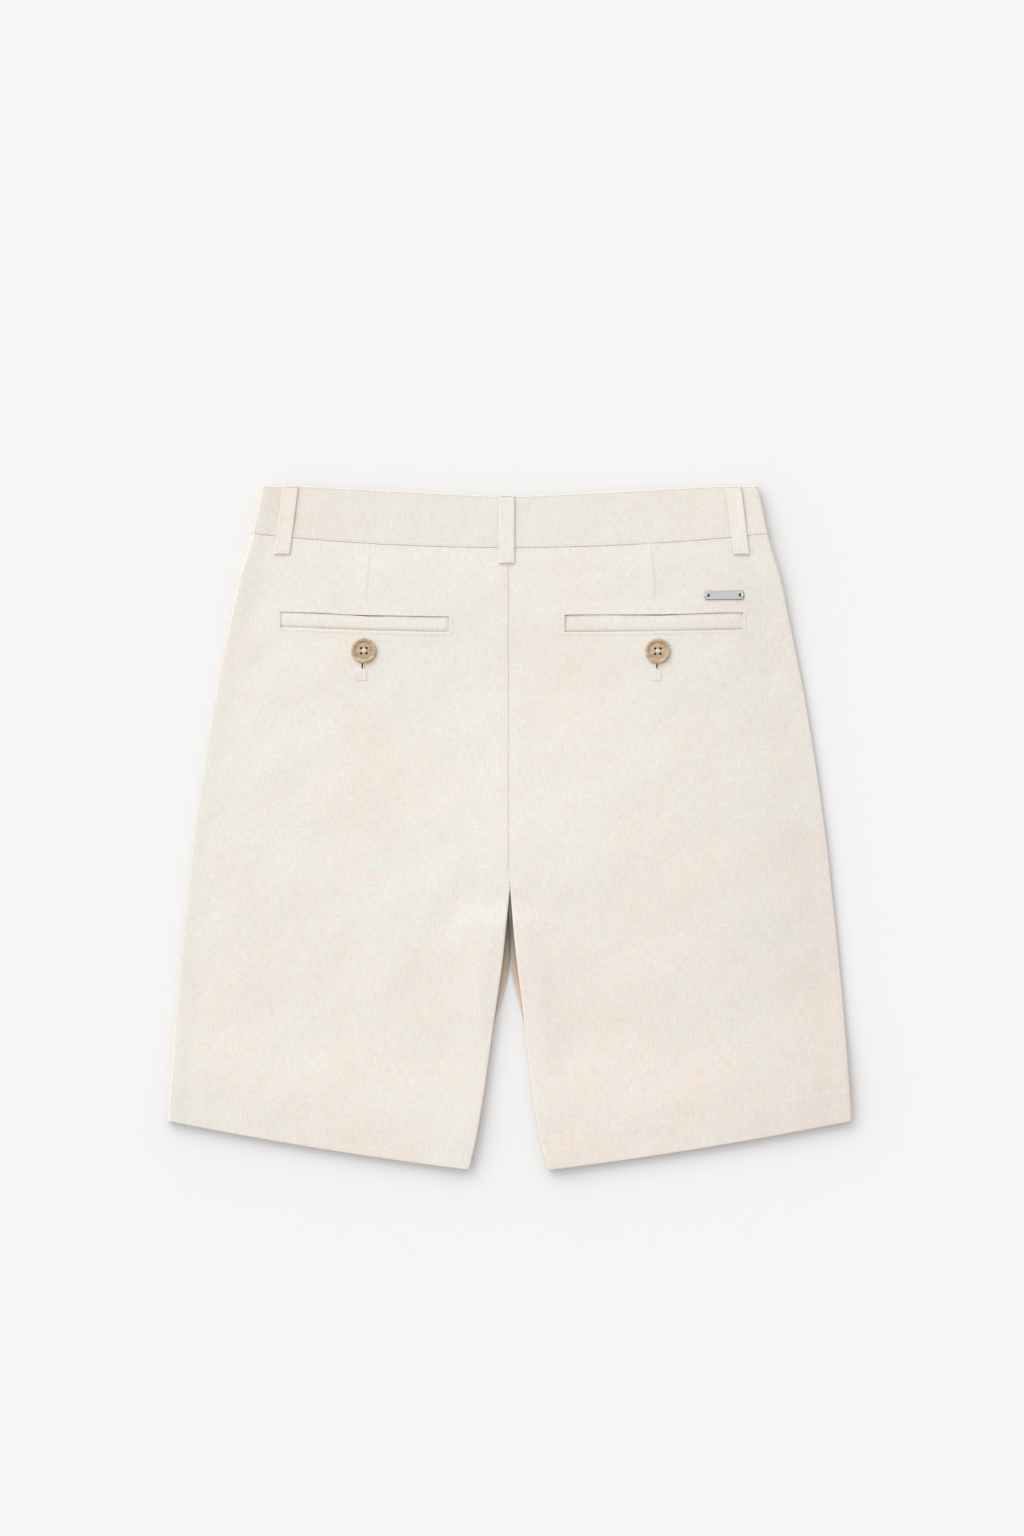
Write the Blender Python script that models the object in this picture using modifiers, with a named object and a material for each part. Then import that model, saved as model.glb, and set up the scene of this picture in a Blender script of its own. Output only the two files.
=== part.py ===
"""Bermuda shorts laid flat with the back side up.

Metres, +Z up, +Y towards the waist, +X towards the wearer's right. The origin is under the middle of the
shorts, on the surface that they lie on. Each cloth piece is an open sheet, lofted from sections across it,
with a Solidify wall. Its drawn face is the right side of the cloth, and the wall is on the wrong side.
"""

import math
from collections import namedtuple

import bmesh
import bpy
from mathutils import Matrix

MM = 0.001

# Cloth and seams
WALL = 1.0 * MM
SEAM_GAP = 0.3 * MM
FOLD_GAP = 0.3 * MM
FOLD_DEPTH = 2 * WALL + FOLD_GAP
FOLD_RADIUS = FOLD_DEPTH / 2
HEM_DEPTH = 26.6 * MM

# Lengths along the body, from the origin
CROTCH_Y = -46.8 * MM
SEAM_CENTRE_Y = 218.4 * MM
SEAM_SIDE_RISE = 10.9 * MM
SEAM_SIDE_X = 200.0 * MM
TOP_CENTRE_Y = 258.8 * MM
TOP_SIDE_RISE = 7.8 * MM
TOP_RISE_X = 160.0 * MM
TOP_ROUNDING = 12.0 * MM
FRONT_DROP = 26.0 * MM
HEM_OUTER_X = 266.7 * MM
HEM_OUTER_Y = -228.3 * MM
HEM_INNER_X = 31.0 * MM
HEM_INNER_Y = -266.4 * MM
HEM_SAG = 2.3 * MM
FRONT_HEM_SHORT = 0.8 * MM
HEM_LIFT_POWER = 16

# Heights of the laid layers above the surface
FLAT_TOP = 2.45 * MM
FOLDED_TOP = 2 * FOLD_DEPTH + SEAM_GAP + 0.1 * MM
PANEL_TOP_AT_BAND = 4.4 * MM
EDGE_HEIGHT = 4.4 * MM
EDGE_HEIGHT_FOLDED = 5.8 * MM
WAIST_FULL = 8.0 * MM
WAIST_FADE = 70.0 * MM
HEM_FULL = 30.0 * MM
HEM_FADE = 28.0 * MM

# Soft rolled edges, where the back turns over to meet the front
EDGE_BLEND = 16.0 * MM
LIP = 0.15 * MM
SPREAD = 2.0 * MM
CROTCH_ROLL_START = 4.0 * MM
CROTCH_ROLL_LENGTH = 34.0 * MM
PUFF_CENTRE_FADE = 35.0 * MM

# Sections of a sheet
ROLL_STEPS = 4
FOLD_STEPS = 4
SLOPE_STEPS = 3
FLAT_STEPS = 5
BAND_STEPS = 10
WAIST_ROWS = 6
THIGH_ROWS = 4
CROTCH_ROWS = 4
KNEE_ROWS = 4
HEM_ROWS = 3

Side = namedtuple("Side", "y half_width")
SIDE_OUTLINE = (
    Side(266.6, 192.9),
    Side(252.0, 196.4),
    Side(236.0, 199.6),
    Side(226.0, 201.8),
    Side(212.0, 205.9),
    Side(193.4, 211.4),
    Side(158.3, 218.6),
    Side(111.5, 228.1),
    Side(53.0, 237.9),
    Side(-5.5, 246.2),
    Side(-75.7, 253.9),
    Side(-146.0, 260.5),
    Side(-204.0, 265.2),
    Side(-229.0, 266.7),
)

Inseam = namedtuple("Inseam", "y left right")
INSEAM = (
    Inseam(-46.8, 0.15, 0.15),
    Inseam(-64.0, 1.3, 1.1),
    Inseam(-79.6, 2.9, 2.4),
    Inseam(-103.0, 5.3, 5.0),
    Inseam(-134.2, 9.7, 9.0),
    Inseam(-157.6, 13.2, 11.8),
    Inseam(-181.0, 16.4, 14.4),
    Inseam(-212.2, 20.7, 17.9),
    Inseam(-243.4, 26.1, 23.2),
    Inseam(-266.4, 31.4, 29.4),
)

Puff = namedtuple("Puff", "side x y width length height")
PUFFS = (
    Puff(-1, 128.0, 40.0, 62.0, 85.0, 0.9),
    Puff(-1, 205.0, -70.0, 34.0, 80.0, 0.6),
    Puff(-1, 95.0, -110.0, 48.0, 60.0, 1.0),
    Puff(-1, 165.0, 125.0, 40.0, 38.0, 0.5),
    Puff(1, 120.0, 20.0, 58.0, 80.0, 0.8),
    Puff(1, 195.0, -40.0, 36.0, 90.0, 0.7),
    Puff(1, 110.0, -130.0, 55.0, 55.0, 1.0),
    Puff(1, 150.0, 115.0, 44.0, 36.0, 0.5),
)

Loop = namedtuple("Loop", "name top_x bottom_x top_y bottom_y")
BELT_LOOPS = (
    Loop("belt_loop_centre", -2.6, -2.6, 259.2, 205.9),
    Loop("belt_loop_left", -170.8, -177.6, 266.4, 212.9),
    Loop("belt_loop_right", 173.7, 180.4, 266.4, 212.9),
)
LOOP_WIDTH = 12.2 * MM
LOOP_FLAP = 7.0 * MM
LOOP_ARCH = 0.8 * MM
LOOP_RUN_STEPS = 6
LOOP_ACROSS_STEPS = 2

Window = namedtuple("Window", "side x y length height tilt")
POCKET_WINDOWS = (
    Window("left", -112.9, 160.4, 131.6, 12.1, -1.75),
    Window("right", 112.2, 160.3, 139.0, 13.2, 0.8),
)
MOUTH_GAP = 1.0 * MM
WELT_PROUD = 0.1 * MM
WELT_STEPS = 10

Fastening = namedtuple("Fastening", "side x y slit_x")
BUTTONS = (
    Fastening("left", -113.7, 138.1, -115.0),
    Fastening("right", 115.2, 137.8, 114.5),
)
BUTTON_RADIUS = 9.83 * MM
BUTTON_HEIGHT = 3.2 * MM
BUTTON_RIM_WIDTH = 3.1 * MM
BUTTON_WELL_DEPTH = 0.7 * MM
BUTTON_EDGE = 0.6 * MM
BUTTON_HOLE_RADIUS = 0.85 * MM
BUTTON_HOLE_SPACING = 3.9 * MM
BUTTON_SEGMENTS = 28
SLIT_WIDTH = 0.9 * MM
SLIT_TOP_Y = 143.0 * MM
SLIT_BOTTOM_Y = 124.5 * MM

PLATE_X = 166.9 * MM
PLATE_Y = 181.4 * MM
PLATE_LENGTH = 30.0 * MM
PLATE_WIDTH = 6.9 * MM
PLATE_THICKNESS = 1.2 * MM
PLATE_TILT = 0.6
PLATE_PANEL_LENGTH = 20.5 * MM
PLATE_PANEL_WIDTH = 5.0 * MM
PLATE_PANEL_DEPTH = 0.25 * MM
PLATE_HOLE_RADIUS = 0.9 * MM
PLATE_HOLE_X = 12.5 * MM
PLATE_BEVEL = 0.25 * MM

CUTTER_BOTTOM = 1.2 * MM
CUTTER_TOP = 9.0 * MM
CUTTER_SEGMENTS = 16

CLOTH_COLOUR = (0.83, 0.78, 0.69, 1.0)
LOOP_COLOUR = (0.84, 0.79, 0.71, 1.0)
HORN_COLOUR = (0.58, 0.43, 0.26, 1.0)
METAL_COLOUR = (0.62, 0.63, 0.64, 1.0)


def lerp(start, end, part):
    return start + (end - start) * part


def smoothstep(part):
    part = min(1.0, max(0.0, part))
    return part * part * (3 - 2 * part)


def read_table(table, column, y):
    """Reads a column, in metres, at y on a smooth curve through the table's rows, which run down in y."""
    rows = [(row.y * MM, getattr(row, column) * MM) for row in table]
    y = min(rows[0][0], max(rows[-1][0], y))
    slopes = [(b[1] - a[1]) / (b[0] - a[0]) for a, b in zip(rows, rows[1:])]
    index = next(i for i in range(len(slopes)) if y >= rows[i + 1][0])
    (y0, x0), (y1, x1) = rows[index], rows[index + 1]
    first = (slopes[max(index - 1, 0)] + slopes[index]) / 2
    last = (slopes[index] + slopes[min(index + 1, len(slopes) - 1)]) / 2
    span = y1 - y0
    t = (y - y0) / span
    return (
        (2 * t**3 - 3 * t**2 + 1) * x0
        + (t**3 - 2 * t**2 + t) * span * first
        + (3 * t**2 - 2 * t**3) * x1
        + (t**3 - t**2) * span * last
    )


def side_x(y):
    """Distance from the middle line to the outer edge."""
    return read_table(SIDE_OUTLINE, "half_width", y)


def inseam_x(y, side):
    """Distance from the middle line to the inner edge, which is half a seam gap above the crotch."""
    return read_table(INSEAM, "left" if side < 0 else "right", y)


def back_seam_y(x):
    """The seam between the back panels and their waistband."""
    return SEAM_CENTRE_Y + SEAM_SIDE_RISE * (min(abs(x), SEAM_SIDE_X) / SEAM_SIDE_X) ** 2


def band_height(x):
    """Height of the waistband, from its seam to its top edge."""
    rise = math.hypot(x, TOP_ROUNDING) - TOP_ROUNDING
    full_rise = math.hypot(TOP_RISE_X, TOP_ROUNDING) - TOP_ROUNDING
    return TOP_CENTRE_Y + TOP_SIDE_RISE * min(1.0, rise / full_rise) - back_seam_y(x)


def front_seam_y(x):
    """The seam of the front panels, which are cut lower at the middle."""
    return back_seam_y(x) - FRONT_DROP * (1 - (min(abs(x), SEAM_SIDE_X) / SEAM_SIDE_X) ** 2)


def hem_y(x):
    """The folded edge of the hem."""
    part = (abs(x) - HEM_INNER_X) / (HEM_OUTER_X - HEM_INNER_X)
    return lerp(HEM_INNER_Y, HEM_OUTER_Y, part) - HEM_SAG * 4 * part * (1 - part)


def folded_share(x, y):
    """How far the layers are spread by the waistband and by the hem: two numbers from 0 to 1."""
    waist = smoothstep(1 - (back_seam_y(x) - y - WAIST_FULL) / WAIST_FADE)
    hem = smoothstep(1 - (y - hem_y(x) - HEM_FULL) / HEM_FADE)
    return waist, hem


def edge_height(x, y):
    """Height of the garment at a rolled edge."""
    return EDGE_HEIGHT + (EDGE_HEIGHT_FOLDED - EDGE_HEIGHT) * max(folded_share(x, y))


def puff_height(x, y):
    """The soft swells of the back panels, which fade out at the centre back seam."""
    total = 0.0
    for puff in PUFFS:
        if puff.side * x > 0:
            across = (abs(x) - puff.x * MM) / (puff.width * MM)
            along = (y - puff.y * MM) / (puff.length * MM)
            total += puff.height * MM * math.exp(-(across**2) - along**2)
    return total * smoothstep(abs(x) / PUFF_CENTRE_FADE)


def flat_top(x, y):
    """Height of the back's right side, away from the rolled edges."""
    if y > back_seam_y(x):
        return FOLDED_TOP
    waist, hem = folded_share(x, y)
    spread = (PANEL_TOP_AT_BAND - FLAT_TOP) * waist + (FOLDED_TOP - FLAT_TOP) * hem
    return FLAT_TOP + spread + puff_height(x, y) * (1 - waist) * (1 - hem)


def crotch_roll(y):
    """How far the inner edges turn over: 0 at the centre seam, 1 along the inseam."""
    return smoothstep((CROTCH_Y + CROTCH_ROLL_START - y) / CROTCH_ROLL_LENGTH)


def roll_sizes(x, y, amount):
    """Radius, angle and width of a rolled edge, whose last stretch is a short straight lip."""
    radius = (edge_height(x, y) - SEAM_GAP) / 2 - LIP
    angle = amount * math.pi / 2
    spread = (1 - amount) * SPREAD
    reach = radius * math.sin(angle) + spread + LIP * math.cos(angle)
    return radius, angle, spread, reach


def back_top(x, y):
    """Height of the back's right side at any place on it."""
    side = -1 if x < 0 else 1
    across = abs(x)
    outer = side_x(y)
    outer_start = outer - roll_sizes(side * outer, y, 1.0)[3]
    blend = smoothstep(1 - (outer_start - across) / EDGE_BLEND)
    amount = crotch_roll(y)
    if amount > 0:
        inner = inseam_x(y, side)
        inner_start = inner + roll_sizes(side * inner, y, amount)[3]
        blend = max(blend, amount * smoothstep(1 - (across - inner_start) / EDGE_BLEND))
    base = flat_top(x, y)
    return base + (edge_height(x, y) - base) * blend


def edge_points(x, y, outward, amount, on_back, depth):
    """Points of one row from the start of an edge's roll to its seam."""
    radius, angle, spread, reach = roll_sizes(x, y, amount)
    start_x = x - outward * reach
    rise = -1 if on_back else 1
    centre_z = back_top(start_x, y) - radius if on_back else radius
    points = []
    for step in range(ROLL_STEPS + 1):
        part = step / ROLL_STEPS
        turn = angle * part
        px = start_x + outward * ((radius - depth) * math.sin(turn) + spread * part)
        points.append((px, y, centre_z - rise * (radius - depth) * math.cos(turn)))
    px, _, pz = points[-1]
    lip = (px + outward * LIP * math.cos(angle), y, pz + rise * LIP * math.sin(angle))
    return points + [lip]


def stations(width, steps, on_back):
    """Parts of a width at which a section has points: closer together on the back's two end slopes."""
    if not on_back:
        return [step / steps for step in range(1, steps)]
    slope = EDGE_BLEND / width
    first = [slope * step / SLOPE_STEPS for step in range(1, SLOPE_STEPS + 1)]
    middle = [lerp(slope, 1 - slope, step / steps) for step in range(1, steps)]
    return first + middle + [1 - part for part in reversed(first)]


def cross_row(inner, outer, y_at, on_back, depth, steps):
    """One section across a piece. Each end is (x, outward, amount), and y_at reads y from 0 to 1 across."""
    first = edge_points(inner[0], y_at(0), inner[1], inner[2], on_back, depth)[::-1]
    last = edge_points(outer[0], y_at(1), outer[1], outer[2], on_back, depth)
    start_x = first[-1][0]
    end_x = last[0][0]
    middle = []
    for part in stations(abs(end_x - start_x), steps, on_back):
        x = lerp(start_x, end_x, part)
        y = y_at(part)
        middle.append((x, y, back_top(x, y) - depth if on_back else depth))
    return first + middle + last


def leg_row_parts(length):
    """Parts of a leg's length at which it has a section: closer where its height or its inner edge changes."""
    waist_end = WAIST_FULL + WAIST_FADE
    crotch = SEAM_CENTRE_Y - CROTCH_Y
    crotch_end = crotch + CROTCH_ROLL_LENGTH - CROTCH_ROLL_START
    hem_start = length - HEM_FULL - HEM_FADE
    hem_end = length - HEM_FULL
    stretches = (
        (0.0, WAIST_FULL, 1),
        (WAIST_FULL, waist_end, WAIST_ROWS),
        (waist_end, crotch, THIGH_ROWS),
        (crotch, crotch_end, CROTCH_ROWS),
        (crotch_end, hem_start, KNEE_ROWS),
        (hem_start, hem_end, HEM_ROWS),
        (hem_end, length, 1),
    )
    parts = []
    for start, end, rows in stretches:
        parts += [lerp(start, end, row / rows) / length for row in range(rows)]
    return parts


def fold_steps(length, run_steps):
    """A folded edge as (how far in from the fold, depth): the half turn, then the turned-in run."""
    steps = []
    for step in range(FOLD_STEPS + 1):
        turn = math.pi * step / FOLD_STEPS
        steps.append((FOLD_RADIUS * (1 - math.sin(turn)), FOLD_RADIUS * (1 - math.cos(turn))))
    for step in range(1, run_steps + 1):
        steps.append((lerp(FOLD_RADIUS, length, step / run_steps), FOLD_DEPTH))
    return steps


def leg_rows(side, on_back):
    """Sections of a leg panel, from the waist seam down to the hem and back up its turned-in run.

    The front's sections lie under the back's from the crotch down, and drop towards its lower waist."""
    length = SEAM_CENTRE_Y - HEM_INNER_Y
    crotch_part = (SEAM_CENTRE_Y - CROTCH_Y) / length
    top_outer_x = side_x(back_seam_y(SEAM_SIDE_X))
    hem_lift = 0.0 if on_back else FRONT_HEM_SHORT

    def row(part, lift, depth):
        def y_at(across):
            top_x = lerp(0, top_outer_x, across)
            top = back_seam_y(top_x) - SEAM_GAP / 2
            bottom = hem_y(lerp(HEM_INNER_X, HEM_OUTER_X, across)) + hem_lift
            if part == 1:
                return bottom + lift
            drop = 0.0 if on_back else back_seam_y(top_x) - front_seam_y(top_x)
            low = bottom - hem_lift * (1 - part**HEM_LIFT_POWER) + FOLD_RADIUS
            return lerp(top, low, part) - drop * max(0.0, 1 - part / crotch_part)

        inner = (side * inseam_x(y_at(0), side), -side, crotch_roll(y_at(0)))
        outer = (side * side_x(y_at(1)), side, 1.0)
        return cross_row(inner, outer, y_at, on_back, depth, FLAT_STEPS)

    rows = [row(part, 0, 0) for part in leg_row_parts(length)]
    return rows + [row(1, lift, depth) for lift, depth in fold_steps(HEM_DEPTH, 2)]


def band_rows(left_end, right_end, on_back):
    """Sections of a waistband, from its seam up to the folded top edge and down its inner side.

    An end is -1 or 1 at the side of the garment, and 0 at the middle, where the band is cut straight."""
    seam = back_seam_y if on_back else front_seam_y
    end_x = side_x(back_seam_y(SEAM_SIDE_X))
    steps = BAND_STEPS if left_end * right_end else BAND_STEPS // 2

    def row(part, lift, depth):
        def y_at(across):
            x = lerp(left_end, right_end, across) * end_x
            top = seam(x) + band_height(x)
            if part == 1:
                return top - lift
            return lerp(seam(x) + SEAM_GAP / 2, top - FOLD_RADIUS, part)

        def end(place, other, across):
            if place == 0:
                return math.copysign(SEAM_GAP / 2, other), -math.copysign(1, other), 0.0
            return place * side_x(y_at(across)), place, 1.0

        left = end(left_end, right_end, 0)
        right = end(right_end, left_end, 1)
        return cross_row(left, right, y_at, on_back, depth, steps)

    rows = [row(0, 0, 0), row(0.5, 0, 0)]
    run = band_height(SEAM_SIDE_X) - SEAM_GAP
    return rows + [row(1, lift, depth) for lift, depth in fold_steps(run, 2)]


def make_collection(name):
    collection = bpy.data.collections.new(name)
    bpy.context.scene.collection.children.link(collection)
    return collection


def make_material(name, colour, roughness, metallic=0.0):
    material = bpy.data.materials.new(name)
    material.use_nodes = True
    shader = material.node_tree.nodes["Principled BSDF"]
    shader.inputs["Base Color"].default_value = colour
    shader.inputs["Roughness"].default_value = roughness
    shader.inputs["Metallic"].default_value = metallic
    material.diffuse_color = colour
    return material


def object_from(name, mesh_builder, collection, material=None):
    """Makes an object of a bmesh, shaded smooth with its sharp edges kept."""
    mesh = bpy.data.meshes.new(name)
    mesh_builder.to_mesh(mesh)
    mesh_builder.free()
    mesh.shade_smooth()
    mesh.set_sharp_from_angle(angle=math.radians(40))
    made = bpy.data.objects.new(name, mesh)
    collection.objects.link(made)
    if material:
        mesh.materials.append(material)
    return made


def make_sheet(name, rows, facing_out, collection, material):
    """Lofts an open sheet through rows of points and gives it the cloth's wall on the wrong side."""
    sheet = bmesh.new()
    grid = [[sheet.verts.new(point) for point in row] for row in rows]
    for upper, lower in zip(grid, grid[1:]):
        for a, b, c, d in zip(upper, upper[1:], lower[1:], lower):
            sheet.faces.new((a, d, c, b) if facing_out else (a, b, c, d))
    made = object_from(name, sheet, collection, material)
    wall = made.modifiers.new("wall", "SOLIDIFY")
    wall.thickness = WALL
    wall.offset = -1
    wall.use_even_offset = True
    wall.use_quality_normals = True
    return made


def cut(target, cutter, name):
    boolean = target.modifiers.new(name, "BOOLEAN")
    boolean.operation = "DIFFERENCE"
    boolean.solver = "EXACT"
    boolean.object = cutter


def as_cutter(cutter):
    cutter.hide_render = True
    cutter.display_type = "WIRE"
    return cutter


def box_cutter(name, centre, size, tilt, cutters):
    box = bmesh.new()
    bmesh.ops.create_cube(box, size=1.0, matrix=Matrix.Diagonal((*size, 1.0)))
    made = as_cutter(object_from(name, box, cutters))
    made.location = centre
    made.rotation_euler.z = tilt
    return made


def drill_cutter(name, centre, radius, cutters):
    drill = bmesh.new()
    bmesh.ops.create_cone(
        drill,
        cap_ends=True,
        segments=CUTTER_SEGMENTS,
        radius1=radius,
        radius2=radius,
        depth=CUTTER_TOP * 2,
    )
    made = as_cutter(object_from(name, drill, cutters))
    made.location = centre
    return made


def highest_under(x, y, half_x, half_y):
    """Height of the back's highest point under a small flat piece."""
    places = (-1, 0, 1)
    return max(back_top(x + i * half_x, y + j * half_y) for i in places for j in places)


def make_panels(parts, cloth):
    """The four leg panels. Returns the two back panels by side, for the pockets' cuts."""
    backs = {}
    for side, word in ((-1, "left"), (1, "right")):
        back = make_sheet(f"back_panel_{word}", leg_rows(side, True), side > 0, parts, cloth)
        make_sheet(f"front_panel_{word}", leg_rows(side, False), side < 0, parts, cloth)
        backs[word] = back
    return backs


def make_waistband(parts, cloth):
    make_sheet("waistband_back", band_rows(-1, 1, True), False, parts, cloth)
    make_sheet("waistband_front_left", band_rows(-1, 0, False), True, parts, cloth)
    make_sheet("waistband_front_right", band_rows(0, 1, False), True, parts, cloth)


def loop_rows(loop):
    """Sections of a belt loop: a flap, the bottom fold, the run over the waistband, the top fold, a flap."""
    top_y = loop.top_y * MM
    bottom_y = loop.bottom_y * MM
    low = bottom_y + FOLD_RADIUS
    high = top_y - FOLD_RADIUS

    def row(y, height_at):
        points = []
        for step in range(LOOP_ACROSS_STEPS + 1):
            centre_x = lerp(loop.bottom_x, loop.top_x, (y - bottom_y) / (top_y - bottom_y)) * MM
            x = centre_x + LOOP_WIDTH * (step / LOOP_ACROSS_STEPS - 0.5)
            points.append((x, y, height_at(x) + SEAM_GAP))
        return points

    def end_row(end_y, reach, depth):
        y = end_y + reach
        return row(y, lambda x: back_top(x, y) + FOLD_DEPTH - depth)

    def run_row(part):
        arch = LOOP_ARCH * math.sin(math.pi * part)
        slope = smoothstep(part)
        y = lerp(low, high, part)
        return row(y, lambda x: lerp(back_top(x, low), back_top(x, high), slope) + FOLD_DEPTH + arch)

    ends = fold_steps(LOOP_FLAP, 1)
    bottom = [end_row(bottom_y, reach, depth) for reach, depth in reversed(ends)]
    top = [end_row(top_y, -reach, depth) for reach, depth in ends]
    return bottom + [run_row(step / LOOP_RUN_STEPS) for step in range(1, LOOP_RUN_STEPS)] + top


def make_belt_loops(parts, material):
    for loop in BELT_LOOPS:
        make_sheet(loop.name, loop_rows(loop), False, parts, material)


def window_point(window, along, up):
    """A place in a pocket window, given from its middle along and across it."""
    tilt = math.radians(window.tilt)
    x = window.x * MM + along * math.cos(tilt) - up * math.sin(tilt)
    y = window.y * MM + along * math.sin(tilt) + up * math.cos(tilt)
    return x, y


def make_pockets(backs, parts, cutters, cloth):
    """Cuts each pocket's window and fills it with its welt, which leaves the mouth open along the top."""
    for window in POCKET_WINDOWS:
        length = window.length * MM
        height = window.height * MM
        centre = (window.x * MM, window.y * MM, (CUTTER_BOTTOM + CUTTER_TOP) / 2)
        size = (length, height, CUTTER_TOP - CUTTER_BOTTOM)
        name = f"window_cutter_{window.side}"
        cutter = box_cutter(name, centre, size, math.radians(window.tilt), cutters)
        cut(backs[window.side], cutter, "pocket window")
        rows = []
        for up in (height / 2 - MOUTH_GAP, 0.0, -height / 2 + SEAM_GAP):
            row = []
            for step in range(WELT_STEPS + 1):
                along = (length - 2 * SEAM_GAP) * (step / WELT_STEPS - 0.5)
                x, y = window_point(window, along, up)
                row.append((x, y, back_top(x, y) + WELT_PROUD))
            rows.append(row)
        make_sheet(f"welt_{window.side}", rows, True, parts, cloth)


def button_profile():
    """Half section of a button, down its outer side from the middle of its top to the middle of its base."""
    well_x = BUTTON_RADIUS - BUTTON_RIM_WIDTH
    well_z = BUTTON_HEIGHT - BUTTON_WELL_DEPTH
    return (
        (0.0, well_z),
        (well_x - BUTTON_EDGE, well_z),
        (well_x, well_z + BUTTON_WELL_DEPTH / 2),
        (well_x + BUTTON_EDGE, BUTTON_HEIGHT),
        (BUTTON_RADIUS - 2 * BUTTON_EDGE, BUTTON_HEIGHT),
        (BUTTON_RADIUS - BUTTON_EDGE / 2, BUTTON_HEIGHT - BUTTON_EDGE / 2),
        (BUTTON_RADIUS, BUTTON_HEIGHT / 2),
        (BUTTON_RADIUS - BUTTON_EDGE, BUTTON_EDGE),
        (BUTTON_RADIUS - 3 * BUTTON_EDGE, 0.0),
        (0.0, 0.0),
    )


def turn_profile(name, profile, collection, material):
    mesh = bpy.data.meshes.new(name)
    edges = [(i, i + 1) for i in range(len(profile) - 1)]
    mesh.from_pydata([(x, 0.0, z) for x, z in profile], edges, [])
    mesh.materials.append(material)
    made = bpy.data.objects.new(name, mesh)
    collection.objects.link(made)
    screw = made.modifiers.new("turn", "SCREW")
    screw.steps = BUTTON_SEGMENTS
    screw.render_steps = BUTTON_SEGMENTS
    screw.use_merge_vertices = True
    screw.merge_threshold = 0.00001
    screw.use_smooth_shade = True
    return made


def make_buttons(backs, parts, cutters, horn):
    """Each button lies on its back panel, over the top end of its buttonhole slit."""
    for fastening in BUTTONS:
        x = fastening.x * MM
        y = fastening.y * MM
        base = highest_under(x, y, BUTTON_RADIUS, BUTTON_RADIUS) + SEAM_GAP
        button = turn_profile(f"button_{fastening.side}", button_profile(), parts, horn)
        button.location = (x, y, base)
        offset = BUTTON_HOLE_SPACING / 2
        for number, (i, j) in enumerate(((-1, -1), (1, -1), (1, 1), (-1, 1))):
            place = (x + i * offset, y + j * offset, base)
            name = f"button_{fastening.side}_drill_{number}"
            cut(button, drill_cutter(name, place, BUTTON_HOLE_RADIUS, cutters), f"hole {number}")
        slit_y = (SLIT_TOP_Y + SLIT_BOTTOM_Y) / 2
        centre = (fastening.slit_x * MM, slit_y, (CUTTER_BOTTOM + CUTTER_TOP) / 2)
        size = (SLIT_WIDTH, SLIT_TOP_Y - SLIT_BOTTOM_Y, CUTTER_TOP - CUTTER_BOTTOM)
        slit = box_cutter(f"slit_cutter_{fastening.side}", centre, size, 0.0, cutters)
        cut(backs[fastening.side], slit, "buttonhole")


def make_plate(parts, cutters, metal):
    """The small bare metal plate above the right-hand pocket, with a sunk middle and two sewing holes."""
    base = highest_under(PLATE_X, PLATE_Y, PLATE_LENGTH / 2, PLATE_WIDTH / 2) + SEAM_GAP
    tilt = math.radians(PLATE_TILT)
    block = bmesh.new()
    size = (PLATE_LENGTH, PLATE_WIDTH, PLATE_THICKNESS, 1.0)
    bmesh.ops.create_cube(block, size=1.0, matrix=Matrix.Diagonal(size))
    plate = object_from("name_plate", block, parts, metal)
    plate.location = (PLATE_X, PLATE_Y, base + PLATE_THICKNESS / 2)
    plate.rotation_euler.z = tilt
    bevel = plate.modifiers.new("soft edges", "BEVEL")
    bevel.width = PLATE_BEVEL
    bevel.segments = 2
    top = base + PLATE_THICKNESS
    panel_size = (PLATE_PANEL_LENGTH, PLATE_PANEL_WIDTH, 2 * PLATE_PANEL_DEPTH)
    panel = box_cutter("plate_panel_cutter", (PLATE_X, PLATE_Y, top), panel_size, tilt, cutters)
    cut(plate, panel, "sunk middle")
    for end in (-1, 1):
        place = (PLATE_X + end * PLATE_HOLE_X, PLATE_Y + end * PLATE_HOLE_X * math.sin(tilt), base)
        drill = drill_cutter(f"plate_drill_{end}", place, PLATE_HOLE_RADIUS, cutters)
        cut(plate, drill, f"hole {end}")


def clear_scene():
    for item in list(bpy.data.objects):
        bpy.data.objects.remove(item, do_unlink=True)


def main():
    clear_scene()
    parts = make_collection("bermuda_shorts")
    cutters = make_collection("cutters")
    cutters.hide_render = True
    cloth = make_material("cotton_cloth", CLOTH_COLOUR, 0.9)
    loop_cloth = make_material("loop_cloth", LOOP_COLOUR, 0.9)
    horn = make_material("horn", HORN_COLOUR, 0.35)
    metal = make_material("brushed_metal", METAL_COLOUR, 0.35, 1.0)
    backs = make_panels(parts, cloth)
    make_waistband(parts, cloth)
    make_belt_loops(parts, loop_cloth)
    make_pockets(backs, parts, cutters, cloth)
    make_buttons(backs, parts, cutters, horn)
    make_plate(parts, cutters, metal)


main()
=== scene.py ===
"""Dresses the bermuda shorts, laid flat with the back side up: thin cloth, sewing, horn and bare metal.

Metres, +Z up, +Y towards the waist, +X towards the wearer's right. Each cloth piece is a grid of flat places,
every one moved to where the cloth lies, and then given its thickness.
"""

import logging
import math
from collections.abc import Iterator, Sequence
from contextlib import contextmanager
from dataclasses import dataclass, field
from enum import Enum

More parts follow.
